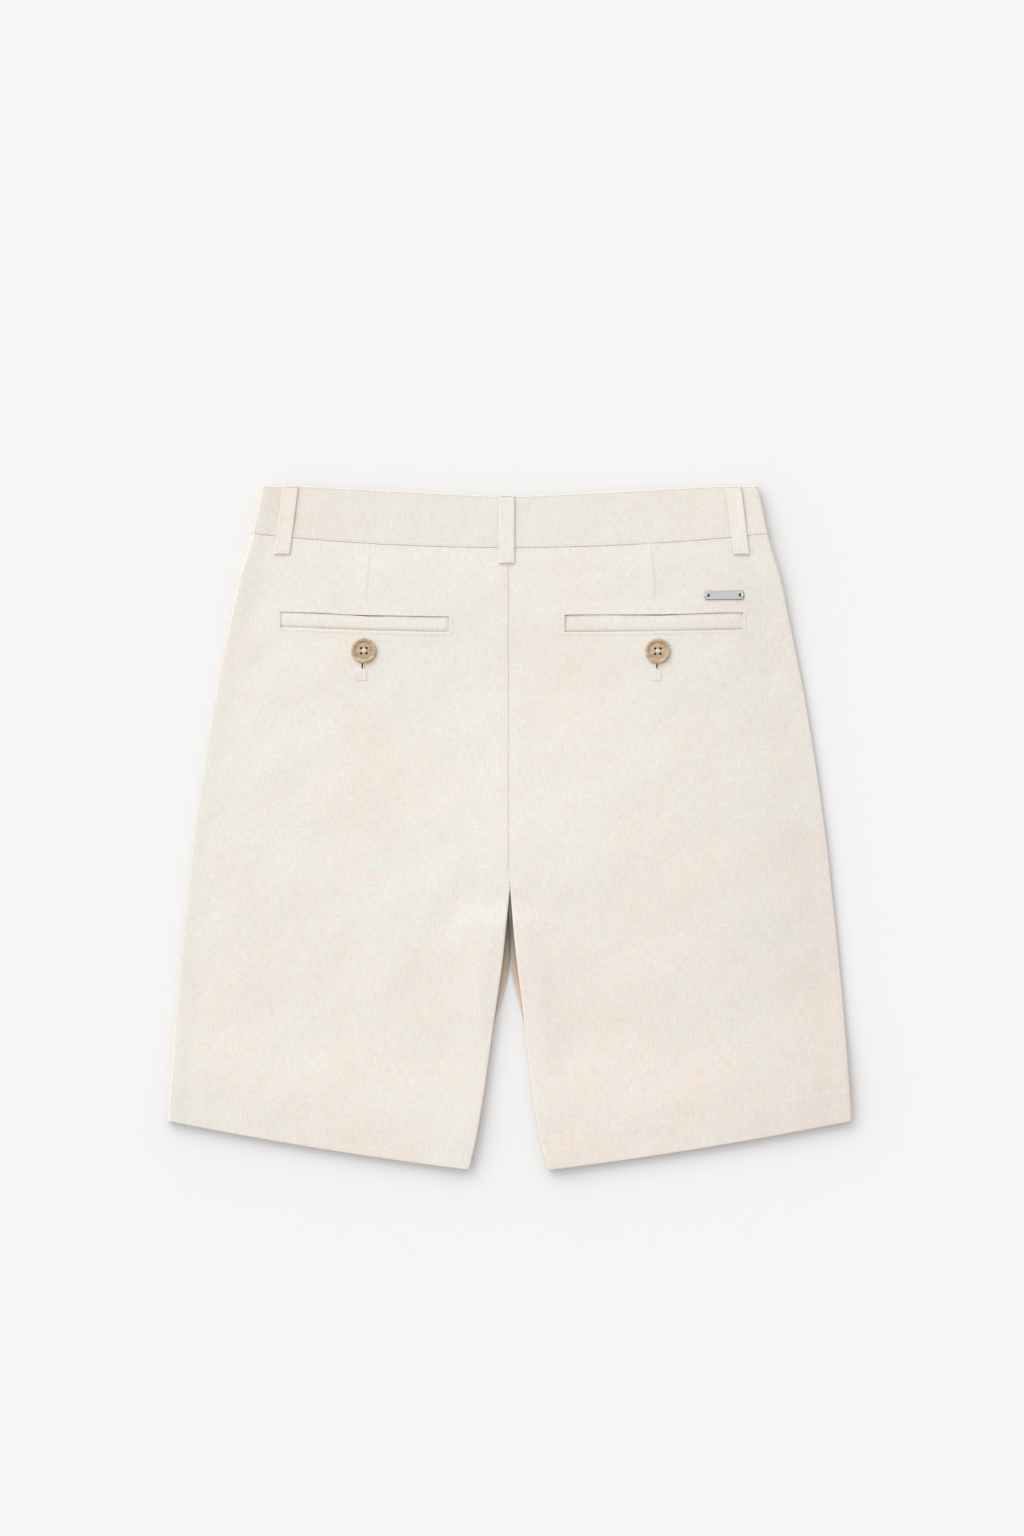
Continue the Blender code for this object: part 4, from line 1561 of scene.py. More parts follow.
@dataclass
class Waistband:
    """A folded waistband piece. Its ends are -1 or 1 at the sides of the garment, and 0 at the middle."""

    shape: LaidShape
    name: str
    left_end: int
    right_end: int
    on_back: bool
    lower_edge: StitchedEdge = StitchedEdge(2.0 * MM, 0.14 * MM, 0.1 * MM, 0.03 * MM, 9 * MM, 0.06 * MM)
    upper_edge: StitchedEdge = StitchedEdge(1.3 * MM, 0.0, 0.0, 0.04 * MM)
    fold_steps: int = 12
    run_steps: int = 8

    def seam_y(self, x: Array) -> Array:
        """The seam that the band is sewn to its panels with."""
        return self.shape.back_seam_y(x) if self.on_back else self.shape.front_seam_y(x)

    def top_y(self, x: Array) -> Array:
        """The band's folded top edge."""
        return self.seam_y(x) + self.shape.band_height(x)

    def relief(self, x: Array, y: Array) -> Array:
        """How far the sewing lifts the band's right side.

        Args:
            x: Places across the garment.
            y: Their heights on it.

        Returns:
            The lift at each place, and 0 all over a front band.
        """
        from_seam = y - self.seam_y(x)
        from_top = self.top_y(x) - y
        total = self.lower_edge.height(np.maximum(from_seam, 0))
        total = total + self.upper_edge.height(np.maximum(from_top, 0)) - self.upper_edge.allowance_lift
        total += pucker(x, from_seam - self.lower_edge.width, 0.06 * MM, 8.3 * MM, 6 * MM)
        total += pucker(x, from_top - self.upper_edge.width, 0.05 * MM, 6.9 * MM, 5 * MM)
        middle = smoothstep(from_seam / (14 * MM)) * smoothstep(from_top / (14 * MM))
        total += middle * (Wave(20, 57, 0.14, 0.7).lift(x, y) + Wave(-14, 34, 0.08, 2.0).lift(x, y))
        return total if self.on_back else np.zeros_like(x)

    def surface(self, x: Array, y: Array) -> Array:
        """Height of the band's right side, away from its rolled ends."""
        base = self.shape.back_top(x, y) if self.on_back else np.zeros_like(x)
        return base + self.relief(x, y)

    def end_x(self, end: int, other: int, y: Array) -> Array:
        """Where the flat part of a row ends.

        Args:
            end: Which end it is.
            other: Which end the other one is.
            y: The heights of the rows.

        Returns:
            The place across the garment on each row.
        """
        if end == 0:
            reach = self.shape.spread + self.shape.lip
            return np.sign(other) * (reach + 0.02 * MM) * np.ones_like(y)
        outer = self.shape.side_x(y)
        return end * (outer - self.shape.roll_sizes(end * outer, y, np.ones_like(y))[3])

    def lay(self) -> ClothSheet:
        """Works out where every place of the band lies.

        Returns:
            The band's sheet.
        """
        shape = self.shape
        coarse = 2.2 * MM if self.on_back else 4.5 * MM
        width = 200 * MM * abs(self.right_end - self.left_end)
        across = Spacing((width,), 0.8 * MM, coarse).places()[1][None, :]
        height = float(shape.band_height(np.array(0.0)))
        fine = 0.4 * MM if self.on_back else 0.8 * MM
        up = Spacing((height,), fine, coarse).places()[1][:, None]
        y = np.full((up.shape[0], across.shape[1]), shape.seam_centre_y)
        x = np.zeros_like(y)
        for _ in range(6):
            left = self.end_x(self.left_end, self.right_end, y)
            right = self.end_x(self.right_end, self.left_end, y)
            x = mix(left, right, across)
            y = mix(self.seam_y(x) + shape.seam_gap / 2, self.top_y(x) - shape.fold_radius, up)
        radius = shape.fold_radius
        length = float(shape.band_height(np.array(shape.seam_side_x))) - shape.seam_gap - radius
        lift, fold_depth, cloth = shape.folded(self.fold_steps, self.run_steps, length)
        depth = np.concatenate([np.zeros(len(y)), fold_depth])
        top = y[-1] + radius
        place_y = np.concatenate([y, np.stack([top - step for step in lift])])
        flat_y = np.concatenate([y, np.stack([y[-1] + step for step in cloth])])
        left = self.end_x(self.left_end, self.right_end, place_y)
        right = self.end_x(self.right_end, self.left_end, place_y)
        x = mix(left, right, across)
        return self.assemble(x, place_y, depth, flat_y)

    def assemble(self, x: Array, y: Array, depth: Array, flat_y: Array) -> ClothSheet:
        """Sets every row at its height, and adds the rolled or straight ends.

        Args:
            x: Each place across the garment.
            y: Each place's height on the garment.
            depth: How far in the cloth of each row lies.
            flat_y: Each place's height on the flat cloth.

        Returns:
            The band's sheet.
        """
        shape = self.shape
        share = np.clip(1 - depth / shape.fold_radius, 0.0, 1.0)
        if self.on_back:
            top = shape.back_top(x, y) + self.relief(x, y) * share[:, None]
            z = top - depth[:, None]
        else:
            top = np.broadcast_to(2 * depth[:, None], x.shape)
            z = np.broadcast_to(depth[:, None], x.shape)
        flats = np.stack([x, y, z], axis=2)
        rolls = []
        for column, end, outward in ((0, self.left_end, -1.0), (-1, self.right_end, 1.0)):
            amount = np.full(len(x), float(abs(end)))
            roll = RolledEdge(shape, outward, self.on_back)
            rolls.append(roll.lay(x[:, column], y[:, column], amount, depth, top[:, column]))
        return with_rolls(self.name, Face.UP if self.on_back else Face.DOWN, flats, flat_y, rolls)


@dataclass
class BeltLoop:
    """A folded strip sewn down at both its ends over the waistband. Sizes are millimetres."""

    shape: LaidShape
    word: str
    top_x: float
    bottom_x: float
    top_y: float
    bottom_y: float
    width: float = 12.2
    flap: float = 7.0
    arch: float = 0.16
    fold_depth: float = 0.9
    gap: float = 0.08
    stitch_in: float = 1.5
    run_steps: int = 46

    def centre_x(self, y: Array | float) -> Array:
        """The strip's middle line."""
        part = (y / MM - self.bottom_y) / (self.top_y - self.bottom_y)
        return mix(self.bottom_x, self.top_x, part) * MM

    def crown(self, across: Array) -> Array:
        """The strip's section: turned edges, a stitched furrow inside each, and a slightly hollow middle.

        Args:
            across: Distances from the strip's middle line.

        Returns:
            The height of the section at each.
        """
        inward = self.width * MM / 2 - np.abs(across)
        places = np.array([0.0, 0.25, 0.7, 1.2, self.stitch_in, 2.0, 3.4, 6.1]) * MM
        lifts = np.array([-0.2, -0.05, 0.0, 0.02, -0.05, 0.0, 0.0, -0.04]) * MM
        return np.interp(inward, places, lifts)

    def lay(self) -> ClothSheet:
        """Works out where every place of the strip lies, from its lower flap up to its upper one.

        Returns:
            The strip's sheet.
        """
        radius = self.fold_depth * MM / 2
        half = self.width * MM / 2
        inward = np.array([0.0, 0.25, 0.6, 1.0, 1.5, 2.0, 2.8, 3.8, 5.0]) * MM
        across = np.concatenate([-half + inward, [0.0], half - inward[::-1]])
        turn = math.pi * np.arange(9) / 8
        reach = np.concatenate([radius * (1 - np.sin(turn)), np.linspace(radius, self.flap * MM, 4)[1:]])
        depth = np.concatenate([radius * (1 - np.cos(turn)), np.full(3, self.fold_depth * MM)])
        run = np.linspace(0, self.flap * MM - radius, 4)[1:]
        cloth = np.concatenate([radius * turn, radius * math.pi + run])
        low = self.bottom_y * MM + radius
        high = self.top_y * MM - radius
        part = np.arange(1, self.run_steps) / self.run_steps
        run_y = mix(low, high, part)
        y = np.concatenate([(self.bottom_y * MM + reach)[::-1], run_y, self.top_y * MM - reach])
        x = self.centre_x(y)[:, None] + across[None, :]
        heights = [self.base(row_x, np.full_like(row_x, row), low, high) for row, row_x in zip(y, x)]
        raised = self.fold_depth * MM - depth
        turned = np.cos(np.minimum(depth / radius, 2) * math.pi / 2)
        flap = np.zeros(len(reach))
        rise = np.concatenate([raised[::-1], np.full(len(part), self.fold_depth * MM), raised])
        arch = np.concatenate([flap, self.arch * MM * np.sin(math.pi * part), flap])
        turned = np.concatenate([turned[::-1], np.ones(len(part)), turned])
        z = np.array(heights) + self.gap * MM + (rise + arch)[:, None]
        z = z + self.crown(across)[None, :] * turned[:, None]
        points = np.stack([x, np.broadcast_to(y[:, None], x.shape), z], axis=2)
        flat_y = np.concatenate([(low - cloth)[::-1], run_y, high + cloth])
        grid_y = np.broadcast_to(flat_y[:, None], x.shape)
        flat = np.stack([np.broadcast_to(across[None, :] + self.top_x * MM, x.shape), grid_y], axis=2)
        name = f"belt_loop_{self.word}_cloth"
        return ClothSheet(name, points, flat, Face.UP, thickness=0.45 * MM, edge_round=0.16 * MM)

    def base(self, x: Array, y: Array, low: float, high: float) -> Array:
        """What the strip lies on: the cloth at its ends, and a straight slope between them.

        Args:
            x: Places across the garment.
            y: Their heights on it.
            low: Where on the garment the slope starts.
            high: Where it ends.

        Returns:
            The height below the strip at each place.
        """
        at_low = self.shape.back_top(x, np.full_like(y, low))
        at_high = self.shape.back_top(x, np.full_like(y, high))
        part = smoothstep((y - low) / (high - low))
        return mix(at_low, at_high, part)

    def stitch_columns(self, sheet: ClothSheet) -> tuple[float, float]:
        """The column numbers of the two rows of stitches.

        Args:
            sheet: The strip's sheet.

        Returns:
            The number near its first edge and the one near its last edge.
        """
        across = sheet.flat[0, :, 0]
        numbers = np.arange(len(across))
        inward = self.stitch_in * MM
        return (
            float(np.interp(across[0] + inward, across, numbers)),
            float(np.interp(across[-1] - inward, across, numbers)),
        )


@dataclass
class Welt:
    """The strip that fills a pocket's window, folded over at the mouth."""

    shape: LaidShape
    window: PocketWindow
    sink: float = 0.5 * MM
    crown: float = 0.28 * MM
    groove: float = 0.85 * MM
    left_groove: float = 0.35
    margin: float = 3.2 * MM
    fold: float = 0.5 * MM
    run: float = 7.0 * MM

    def lay(self) -> ClothSheet:
        """Works out where every place of the strip lies, from its lower edge up over the mouth's fold.

        Returns:
            The strip's sheet.
        """
        window = self.window
        inner, outer = window.ends()
        margin = self.margin
        sign = window.side.value
        x = np.linspace(sign * (inner - margin), sign * (outer + margin), 110)[None, :]
        low = window.bottom_y(x) - margin
        slack = smoothstep((np.abs(x) - inner) / (5 * MM)) * smoothstep((outer - np.abs(x)) / (5 * MM))
        high = window.top_y(x) - window.mouth_gap(x) * slack - self.fold
        up = Spacing((window.height * MM + margin,), 0.45 * MM, 1.6 * MM, 1.5 * MM).places()[1][:, None]
        y = mix(low, high, up)
        middle = (window.top_y(x) + window.bottom_y(x)) / 2
        off = (y - middle) / (window.height * MM / 2)
        z = self.shape.back_top(np.broadcast_to(x, y.shape), y) - self.sink
        z = z + self.crown * np.clip(1 - off**2, 0, 1) * slack
        left, right = sorted((sign * inner, sign * outer))
        dip = np.zeros_like(z)
        edges = ((y - window.bottom_y(x), 1.0), (x - left, self.left_groove), (right - x, 1.0))
        for from_edge, share in edges:
            dip = np.maximum(dip, share * np.exp(-(((from_edge - 0.1 * MM) / (0.55 * MM)) ** 2)))
        z = z - self.groove * dip
        z = z + pucker(x, off * 4 * MM, 0.06 * MM, 17 * MM, 5 * MM)
        turn = math.pi * np.arange(1, 8) / 7
        rows = [np.stack([np.broadcast_to(x[0], line.shape), line, height], 1) for line, height in zip(y, z)]
        cloth = list(y)
        for angle in turn:
            lift = self.fold * math.sin(angle)
            drop = self.fold * (1 - math.cos(angle))
            rows.append(np.stack([x[0], high[0] + lift, z[-1] - drop], 1))
            cloth.append(high[0] + self.fold * angle)
        for step in (0.33, 0.66, 1.0):
            rows.append(np.stack([x[0], high[0] - self.run * step, z[-1] - 2 * self.fold], 1))
            cloth.append(high[0] + self.fold * math.pi + self.run * step)
        points = np.array(rows)
        flat = np.stack([np.broadcast_to(x, points.shape[:2]), np.array(cloth)], axis=2)
        name = f"welt_{window.side.word}_cloth"
        return ClothSheet(name, points, flat, Face.UP, thickness=0.4 * MM, edge_round=0.08 * MM)


@dataclass(frozen=True)
class Stitching:
    """A row of stitches along a path on the cloth."""

    path: Array
    normals: Array
    pitch: float = 2.5 * MM
    length: float = 2.35 * MM
    crosswise: bool = False
    # Painted shade: how much of the whole stitch takes the dark colour of its ends.
    dulled: float = 0.0

    @classmethod
    def level(cls, path: Array, *sizes: float, up: float = 1.0, **settings: float) -> "Stitching":
        """A row on cloth that looks straight up, or straight down where up is -1."""
        return cls(path, np.tile([0.0, 0.0, up], (len(path), 1)), *sizes, **settings)

    def frames(self) -> tuple[Array, Array, Array]:
        """Middle, direction and upward direction of each stitch.

        Returns:
            The three, each for every stitch.
        """
        steps = np.linalg.norm(np.diff(self.path, axis=0), axis=1)
        along = np.concatenate([[0.0], np.cumsum(steps)])
        count = max(1, int(along[-1] / self.pitch))
        centres = (np.arange(count) + 0.5) * along[-1] / count

        def read(values: Array, places: Array) -> Array:
            """The path's values at some distances along it."""
            return np.stack([np.interp(places, along, values[:, axis]) for axis in range(3)], axis=1)

        reach = self.length / 2
        middle = read(self.path, centres)
        ahead = read(self.path, np.minimum(centres + reach, along[-1]))
        direction = ahead - read(self.path, np.maximum(centres - reach, 0.0))
        direction /= np.linalg.norm(direction, axis=1, keepdims=True) + 1e-12
        up = read(self.normals, centres)
        up -= direction * (up * direction).sum(axis=1, keepdims=True)
        up /= np.linalg.norm(up, axis=1, keepdims=True) + 1e-12
        if self.crosswise:
            direction = np.cross(up, direction)
        return middle, direction, up


@dataclass
class Sewing:
    """Sewing thread laid as single stitches, each a short bar whose two ends go down into the cloth."""

    material: Material
    radius: float = 0.25 * MM
    dip: float = 0.1 * MM
    flatness: float = 0.45
    seat: float = 0.45
    bluntness: float = 0.6

    def stitch_shape(self) -> tuple[Array, list[tuple[int, ...]]]:
        """One stitch, 2 long from end to end and 2 across, as points and faces.

        Returns:
            The points, and the corners of each face.
        """
        deselect_all()
        bpy.ops.mesh.primitive_uv_sphere_add(segments=8, ring_count=6, radius=1.0)
        bead = bpy.context.object
        with editing("FACE"):
            bpy.ops.mesh.select_all(action="SELECT")
            bpy.ops.transform.rotate(value=math.pi / 2, orient_axis="Y", center_override=(0.0, 0.0, 0.0))
        points = np.array([vertex.co for vertex in bead.data.vertices])
        girth = np.hypot(points[:, 1], points[:, 2])
        points[:, 1:] *= np.where(girth > 0.01, np.maximum(girth, 0.01) ** (self.bluntness - 1), 1.0)[:, None]
        faces = sorted(tuple(polygon.vertices) for polygon in bead.data.polygons)
        bpy.data.objects.remove(bead)
        return points, faces

    def sew(self, name: str, rows: Sequence[Stitching]) -> Piece:
        """Makes one piece of all these rows.

        Args:
            name: The piece's name.
            rows: The rows of stitches.

        Returns:
            The joined stitches.
        """
        shape, faces = self.stitch_shape()
        points = []
        sunk = []
        for row in rows:
            middle, direction, up = row.frames()
            aside = np.cross(up, direction)
            long = shape[:, 0] * row.length / 2
            high = (shape[:, 2] * self.flatness + self.seat) * self.radius - self.dip * shape[:, 0] ** 2
            wide = shape[:, 1] * self.radius
            placed = (
                middle[:, None]
                + direction[:, None] * long[None, :, None]
                + aside[:, None] * wide[None, :, None]
                + up[:, None] * high[None, :, None]
            )
            points.append(placed.reshape(-1, 3))
            # Painted shade: each stitch's ends are marked to take the thread's dark tone, as if down in
            # shaded needle holes.
            end = smoothstep((np.abs(shape[:, 0]) - 0.5) / 0.3)
            sunk.append(np.tile(mix(end * (1 - 3 * row.dulled), 1.0, row.dulled), len(middle)))
        points = np.concatenate(points)
        count = len(points) // len(shape)
        starts = range(0, count * len(shape), len(shape))
        all_faces = [tuple(corner + start for corner in face) for start in starts for face in faces]
        mesh = bpy.data.meshes.new(name)
        mesh.from_pydata(points, [], all_faces)
        mesh.materials.append(self.material)
        piece = add_piece(name, mesh)
        mark(piece, "sunk", np.concatenate(sunk))
        bpy.ops.object.shade_smooth()
        return piece

    def strands(
        self, name: str, runs: Sequence[Sequence[Sequence[float]]], radius: float, level: float
    ) -> Piece:
        """Makes one piece of several short smooth strands of thread.

        Args:
            name: The piece's name.
            runs: The points of each strand.
            radius: The thread's radius.
            level: The height below which the thread is down in a hole, and is painted dark as shade.

        Returns:
            The joined strands.
        """
        curve = bpy.data.curves.new(name, "CURVE")
        curve.dimensions = "3D"
        curve.bevel_depth = radius
        curve.bevel_resolution = 2
        curve.resolution_u = 6
        curve.use_fill_caps = True
        for run in runs:
            spline = curve.splines.new("BEZIER")
            spline.bezier_points.add(len(run) - 1)
            for knot, place in zip(spline.bezier_points, run):
                knot.co = place
                knot.handle_left_type = "AUTO"
                knot.handle_right_type = "AUTO"
        add_piece(name, curve)
        bpy.ops.object.convert(target="MESH")
        piece = bpy.context.object
        piece.data.materials.clear()
        piece.data.materials.append(self.material)
        height = np.array([vertex.co.z for vertex in piece.data.vertices])
        # Painted shade: thread below the level takes the dark tone.
        mark(piece, "sunk", smoothstep((level - height) / (0.5 * MM)))
        bpy.ops.object.shade_smooth()
        return piece


@dataclass
class Button:
    """A four-hole button turned from horn, sewn on with a cross of thread. Sizes are millimetres."""

    side: Side
    x: float
    y: float
    radius: float = 9.83
    height: float = 1.9
    seat: float = 0.6
    rim_width: float = 3.0
    well_depth: float = 0.8
    well_wall: float = 0.8
    edge_round: float = 0.9
    hole_radius: float = 1.0
    hole_spacing: float = 4.1
    hole_floor: float = 0.95
    thread_radius: float = 0.25

    @property
    def node(self) -> str:
        """The CAD node that the button stands for."""
        return f"button_{self.side.word}"

    @property
    def base(self) -> float:
        """Height of the button's underside, a little down in the soft cloth."""
        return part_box(self.node)[0].z + self.seat * MM

    def build(self, horn: Material) -> Piece:
        """Turns the button from a disc: its rounded edge, its well and its four holes.

        Args:
            horn: The button's material.

        Returns:
            The finished button.
        """
        base = self.base
        top = base + self.height * MM
        deselect_all()
        bpy.ops.mesh.primitive_cylinder_add(
            vertices=72,
            radius=self.radius * MM,
            depth=self.height * MM,
            location=(self.x * MM, self.y * MM, base + self.height * MM / 2),
        )
        button = bpy.context.object
        button.name = f"{self.node}_horn"
        bpy.ops.object.transform_apply(location=True, rotation=True, scale=True)
        self.turn_face(button, top)
        for i, j in ((-1, -1), (1, -1), (1, 1), (-1, 1)):
            self.drill(button, i * self.hole_spacing / 2, j * self.hole_spacing / 2, base)
        soften(button, 0.12 * MM, 2, 50)
        dress(button, horn, 45)
        mark(button, "stain", self.stain(button))
        return button

    def stain(self, button: Piece) -> Array:
        """How dark each point is: a little round the well and the edge, and wholly down in the holes, where
        it is painted shade.

        Args:
            button: The button.

        Returns:
            A number from 0 to 1 for each point.
        """
        place = np.array([vertex.co for vertex in button.data.vertices])
        out = np.hypot(place[:, 0] - self.x * MM, place[:, 1] - self.y * MM) / MM
        well = self.radius - self.rim_width
        stain = 0.15 * np.exp(-(((out - well) / 0.35) ** 2))
        stain = stain + 0.15 * smoothstep((out - self.radius + 0.45) / 0.4)
        half = self.hole_spacing / 2
        beside, beyond = (np.abs(place[:, axis] / MM - at) - half for axis, at in enumerate((self.x, self.y)))
        in_hole = np.hypot(beside, beyond) < self.hole_radius + 0.02
        return np.where(in_hole & (place[:, 2] < self.well_floor - 0.25 * MM), 1.0, stain)

    def turn_face(self, button: Piece, top: float) -> None:
        """Rounds the edges, and turns the rim and the well into the top face, inset by inset.

        Args:
            button: The button.
            top: The height of its top face.
        """
        mesh = button.data
        select_faces(button, np.array([abs(polygon.normal.z) > 0.9 for polygon in mesh.polygons]))
        with editing("FACE"):
            bpy.ops.mesh.region_to_loop()
            bpy.ops.mesh.bevel(offset=self.edge_round * MM, segments=5, profile=0.55)
        upper = [
            polygon.normal.z > 0.9 and polygon.center.z > top - 1e-5 and len(polygon.vertices) > 8
            for polygon in mesh.polygons
        ]
        select_faces(button, np.array(upper))
        rim = self.rim_width - self.edge_round - self.well_wall
        wall, well = self.well_wall, self.well_depth
        steps = (
            (0.35 * rim, 0.07),
            (0.65 * rim, -0.05),
            (0.35 * wall, -0.3 * well),
            (0.45 * wall, -0.55 * well),
            (0.5, -0.15 * well),
            (0.9, 0.18),
            (2.0, 0.12),
        )
        with editing("FACE"):
            for inward, rise in steps:
                bpy.ops.mesh.inset(thickness=inward * MM, depth=rise * MM)

    def drill(self, button: Piece, x: float, y: float, base: float) -> None:
        """Bores one thread hole, as deep as it can be seen into.

        Args:
            button: The button.
            x: How far across the hole is from the button's middle.
            y: How far up the hole is from it.
            base: The height of the button's underside.
        """
        bpy.ops.mesh.primitive_cylinder_add(
            vertices=24,
            radius=self.hole_radius * MM,
            depth=12 * MM,
            location=((self.x + x) * MM, (self.y + y) * MM, base + (self.hole_floor + 6) * MM),
        )
        cut_out(button, bpy.context.object)

    @property
    def well_floor(self) -> float:
        """Height of the middle of the well."""
        return self.base + (self.height - self.well_depth + 0.3) * MM

    def thread_runs(self) -> list[list[Place]]:
        """The strands that cross between the holes, two side by side each way.

        Returns:
            The points of each strand.
        """
        half = self.hole_spacing / 2
        runs = []
        for level, (i, j) in enumerate(((1, 1), (1, -1))):
            for lane in (-0.13, 0.13):
                start = (-0.66 * i - j * lane, -0.66 * j + i * lane)
                end = (0.66 * i - j * lane, 0.66 * j + i * lane)
                runs.append(self.strand(start, end, half, 0.22 + 0.26 * level))
        return runs

    def strand(
        self, start: Sequence[float], end: Sequence[float], half: float, rise: float
    ) -> list[Place]:
        """One strand from inside a hole, over the well, into another, in parts of half the spacing.

        Args:
            start: Where it starts, from the button's middle.
            end: Where it ends.
            half: Half the spacing of the holes.
            rise: How high it stands over the well.

        Returns:
            Its points.
        """
        run = []
        up = ((0.0, -0.9), (0.04, -0.1), (0.2, 0.8 * rise))
        down = ((0.8, 0.8 * rise), (0.96, -0.1), (1.0, -0.9))
        for part, lift in (*up, (0.5, rise), *down):
            x = mix(start[0], end[0], part) * half
            y = mix(start[1], end[1], part) * half
            run.append(((self.x + x) * MM, (self.y + y) * MM, self.well_floor + lift * MM))
        return run


@dataclass
class NamePlate:
    """A small bare metal plate, held at both ends by thread. Sizes are millimetres."""

    node: str = "name_plate"
    length: float = 30.0
    width: float = 6.9
    thickness: float = 1.0
    seat: float = 0.3
    tilt: float = 0.6
    corner: float = 1.1
    panel_length: float = 20.5
    panel_width: float = 5.0
    panel_depth: float = 0.12
    edge_round: float = 0.5
    hole_radius: float = 1.35
    hole_x: float = 12.5

    @property
    def top(self) -> float:
        """Height of the plate's top face."""
        return self.centre().z + self.thickness * MM

    def centre(self) -> Vector:
        """The middle of the plate's underside."""
        low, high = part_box(self.node)
        return Vector(((low.x + high.x) / 2, (low.y + high.y) / 2, low.z + self.seat * MM))

    def block(self, size: Sequence[float], corner: float, place: Vector) -> Piece:
        """A block with rounded upright corners, turned as the plate is.

        Args:
            size: Its length, width and height.
            corner: The size of its rounded corners.
            place: Where its middle is, in metres.

        Returns:
            The block.
        """
        deselect_all()
        bpy.ops.mesh.primitive_cube_add(size=1.0)
        block = bpy.context.object
        block.scale = [side * MM for side in size]
        bpy.ops.object.transform_apply(scale=True)
        height = [vertex.co.z for vertex in block.data.vertices]
        ends = [tuple(edge.vertices) for edge in block.data.edges]
        select_faces(block, np.zeros(len(block.data.polygons), bool))
        block.data.edges.foreach_set("select", [abs(height[a] - height[b]) > 1e-6 for a, b in ends])
        with editing("EDGE"):
            bpy.ops.mesh.bevel(offset=corner * MM, segments=5)
        block.location = place
        block.rotation_euler.z = math.radians(self.tilt)
        bpy.ops.object.transform_apply(location=True, rotation=True, scale=True)
        return block

    def build(self, metal: Material) -> Piece:
        """Makes the plate: a rounded block, its sunk middle and its two sewing holes.

        Args:
            metal: The plate's material.

        Returns:
            The finished plate.
        """
        centre = self.centre()
        middle = centre + Vector((0, 0, self.thickness * MM / 2))
        plate = self.block((self.length, self.width, self.thickness), self.corner, middle)
        plate.name = f"{self.node}_metal"
        soften(plate, self.edge_round * MM, 4, 50)
        sunk = (self.panel_length, self.panel_width, 2 * self.panel_depth)
        cutters = [self.block(sunk, 0.5, centre + Vector((0, 0, self.thickness * MM)))]
        for end in (-1, 1):
            x, y = self.on_plate(end * self.hole_x, 0.0)
            bpy.ops.mesh.primitive_cylinder_add(
                vertices=28, radius=self.hole_radius * MM, depth=6 * MM, location=(x, y, centre.z)
            )
            cutters.append(bpy.context.object)
        for cutter in cutters:
            cut_out(plate, cutter)
        dress(plate, metal, 40)
        return plate

    def on_plate(self, along: float, up: float) -> tuple[float, float]:
        """A place on the plate, from its middle, in millimetres along and across it.

        Args:
            along: Distance along the plate.
            up: Distance across the plate.

        Returns:
            The place on the garment, in metres.
        """
        tilt = math.radians(self.tilt)
        centre = self.centre()
        x = centre.x + (along * math.cos(tilt) - up * math.sin(tilt)) * MM
        y = centre.y + (along * math.sin(tilt) + up * math.cos(tilt)) * MM
        return x, y

    def thread_runs(self, cloth_z: float) -> list[list[Place]]:
        """The strands from each hole out over the plate's end and down into the cloth.

        Args:
            cloth_z: The height of the cloth under the plate.

        Returns:
            The points of each strand.
        """
        top = self.top
        runs = []
        for end in (-1, 1):
            # The strands that fill each hole lie below the top, so their colour is painted shade that makes
            # the hole look dark.
            for ring, count in ((0.0, 1), (0.52, 6), (1.04, 12)):
                for turn in np.linspace(0, 2 * math.pi, count, endpoint=False):
                    far = self.hole_x + ring * math.cos(turn)
                    x, y = self.on_plate(end * far, ring * math.sin(turn))
                    runs.append([(x, y, top - 0.55 * MM), (x, y, cloth_z)])
            for lane in (-0.35, 0.35):
                spots = (
                    (self.hole_x + 0.55, lane * 0.8, top - 1.1 * MM),
                    (self.hole_x + 0.7, lane * 0.9, top - 0.15 * MM),
                    (self.hole_x + 1.4, lane, top + 0.24 * MM),
                    (self.hole_x + 2.3, lane * 1.2, top + 0.1 * MM),
                    (self.hole_x + 2.9, lane * 1.5, top - 0.6 * MM),
                    (self.hole_x + 3.2, lane * 1.6, cloth_z - 0.3 * MM),
                )
                runs.append([(*self.on_plate(end * along, up), z) for along, up, z in spots])
        return runs


class Wire:
    """A number on a socket, with arithmetic that adds Math nodes."""

    def __init__(self, nodes: "ShaderNodes", socket: bpy.types.NodeSocket) -> None:
        """Keeps the socket and the tree that it is in."""
        self.nodes = nodes
        self.socket = socket

    def __add__(self, other: "Wire | float") -> "Wire":
        """Sum."""
        return self.nodes.math("ADD", self, other)

    def __sub__(self, other: "Wire | float") -> "Wire":
        """Difference."""
        return self.nodes.math("SUBTRACT", self, other)

    def __mul__(self, other: "Wire | float") -> "Wire":
        """Product."""
        return self.nodes.math("MULTIPLY", self, other)

    def __truediv__(self, other: "Wire | float") -> "Wire":
        """Quotient."""
        return self.nodes.math("DIVIDE", self, other)

    def __radd__(self, other: float) -> "Wire":
        """Sum, the other way round."""
        return self.nodes.math("ADD", other, self)

    def __rsub__(self, other: float) -> "Wire":
        """Difference, the other way round."""
        return self.nodes.math("SUBTRACT", other, self)

    def __rmul__(self, other: float) -> "Wire":
        """Product, the other way round."""
        return self.nodes.math("MULTIPLY", other, self)

    def sine(self) -> "Wire":
        """Sine of an angle in radians."""
        return self.nodes.math("SINE", self)

    def size(self) -> "Wire":
        """The number without its sign."""
        return self.nodes.math("ABSOLUTE", self)

    def held(self) -> "Wire":
        """The number kept between 0 and 1."""
        return self.nodes.node("ShaderNodeClamp", {}, Value=self)["Result"]


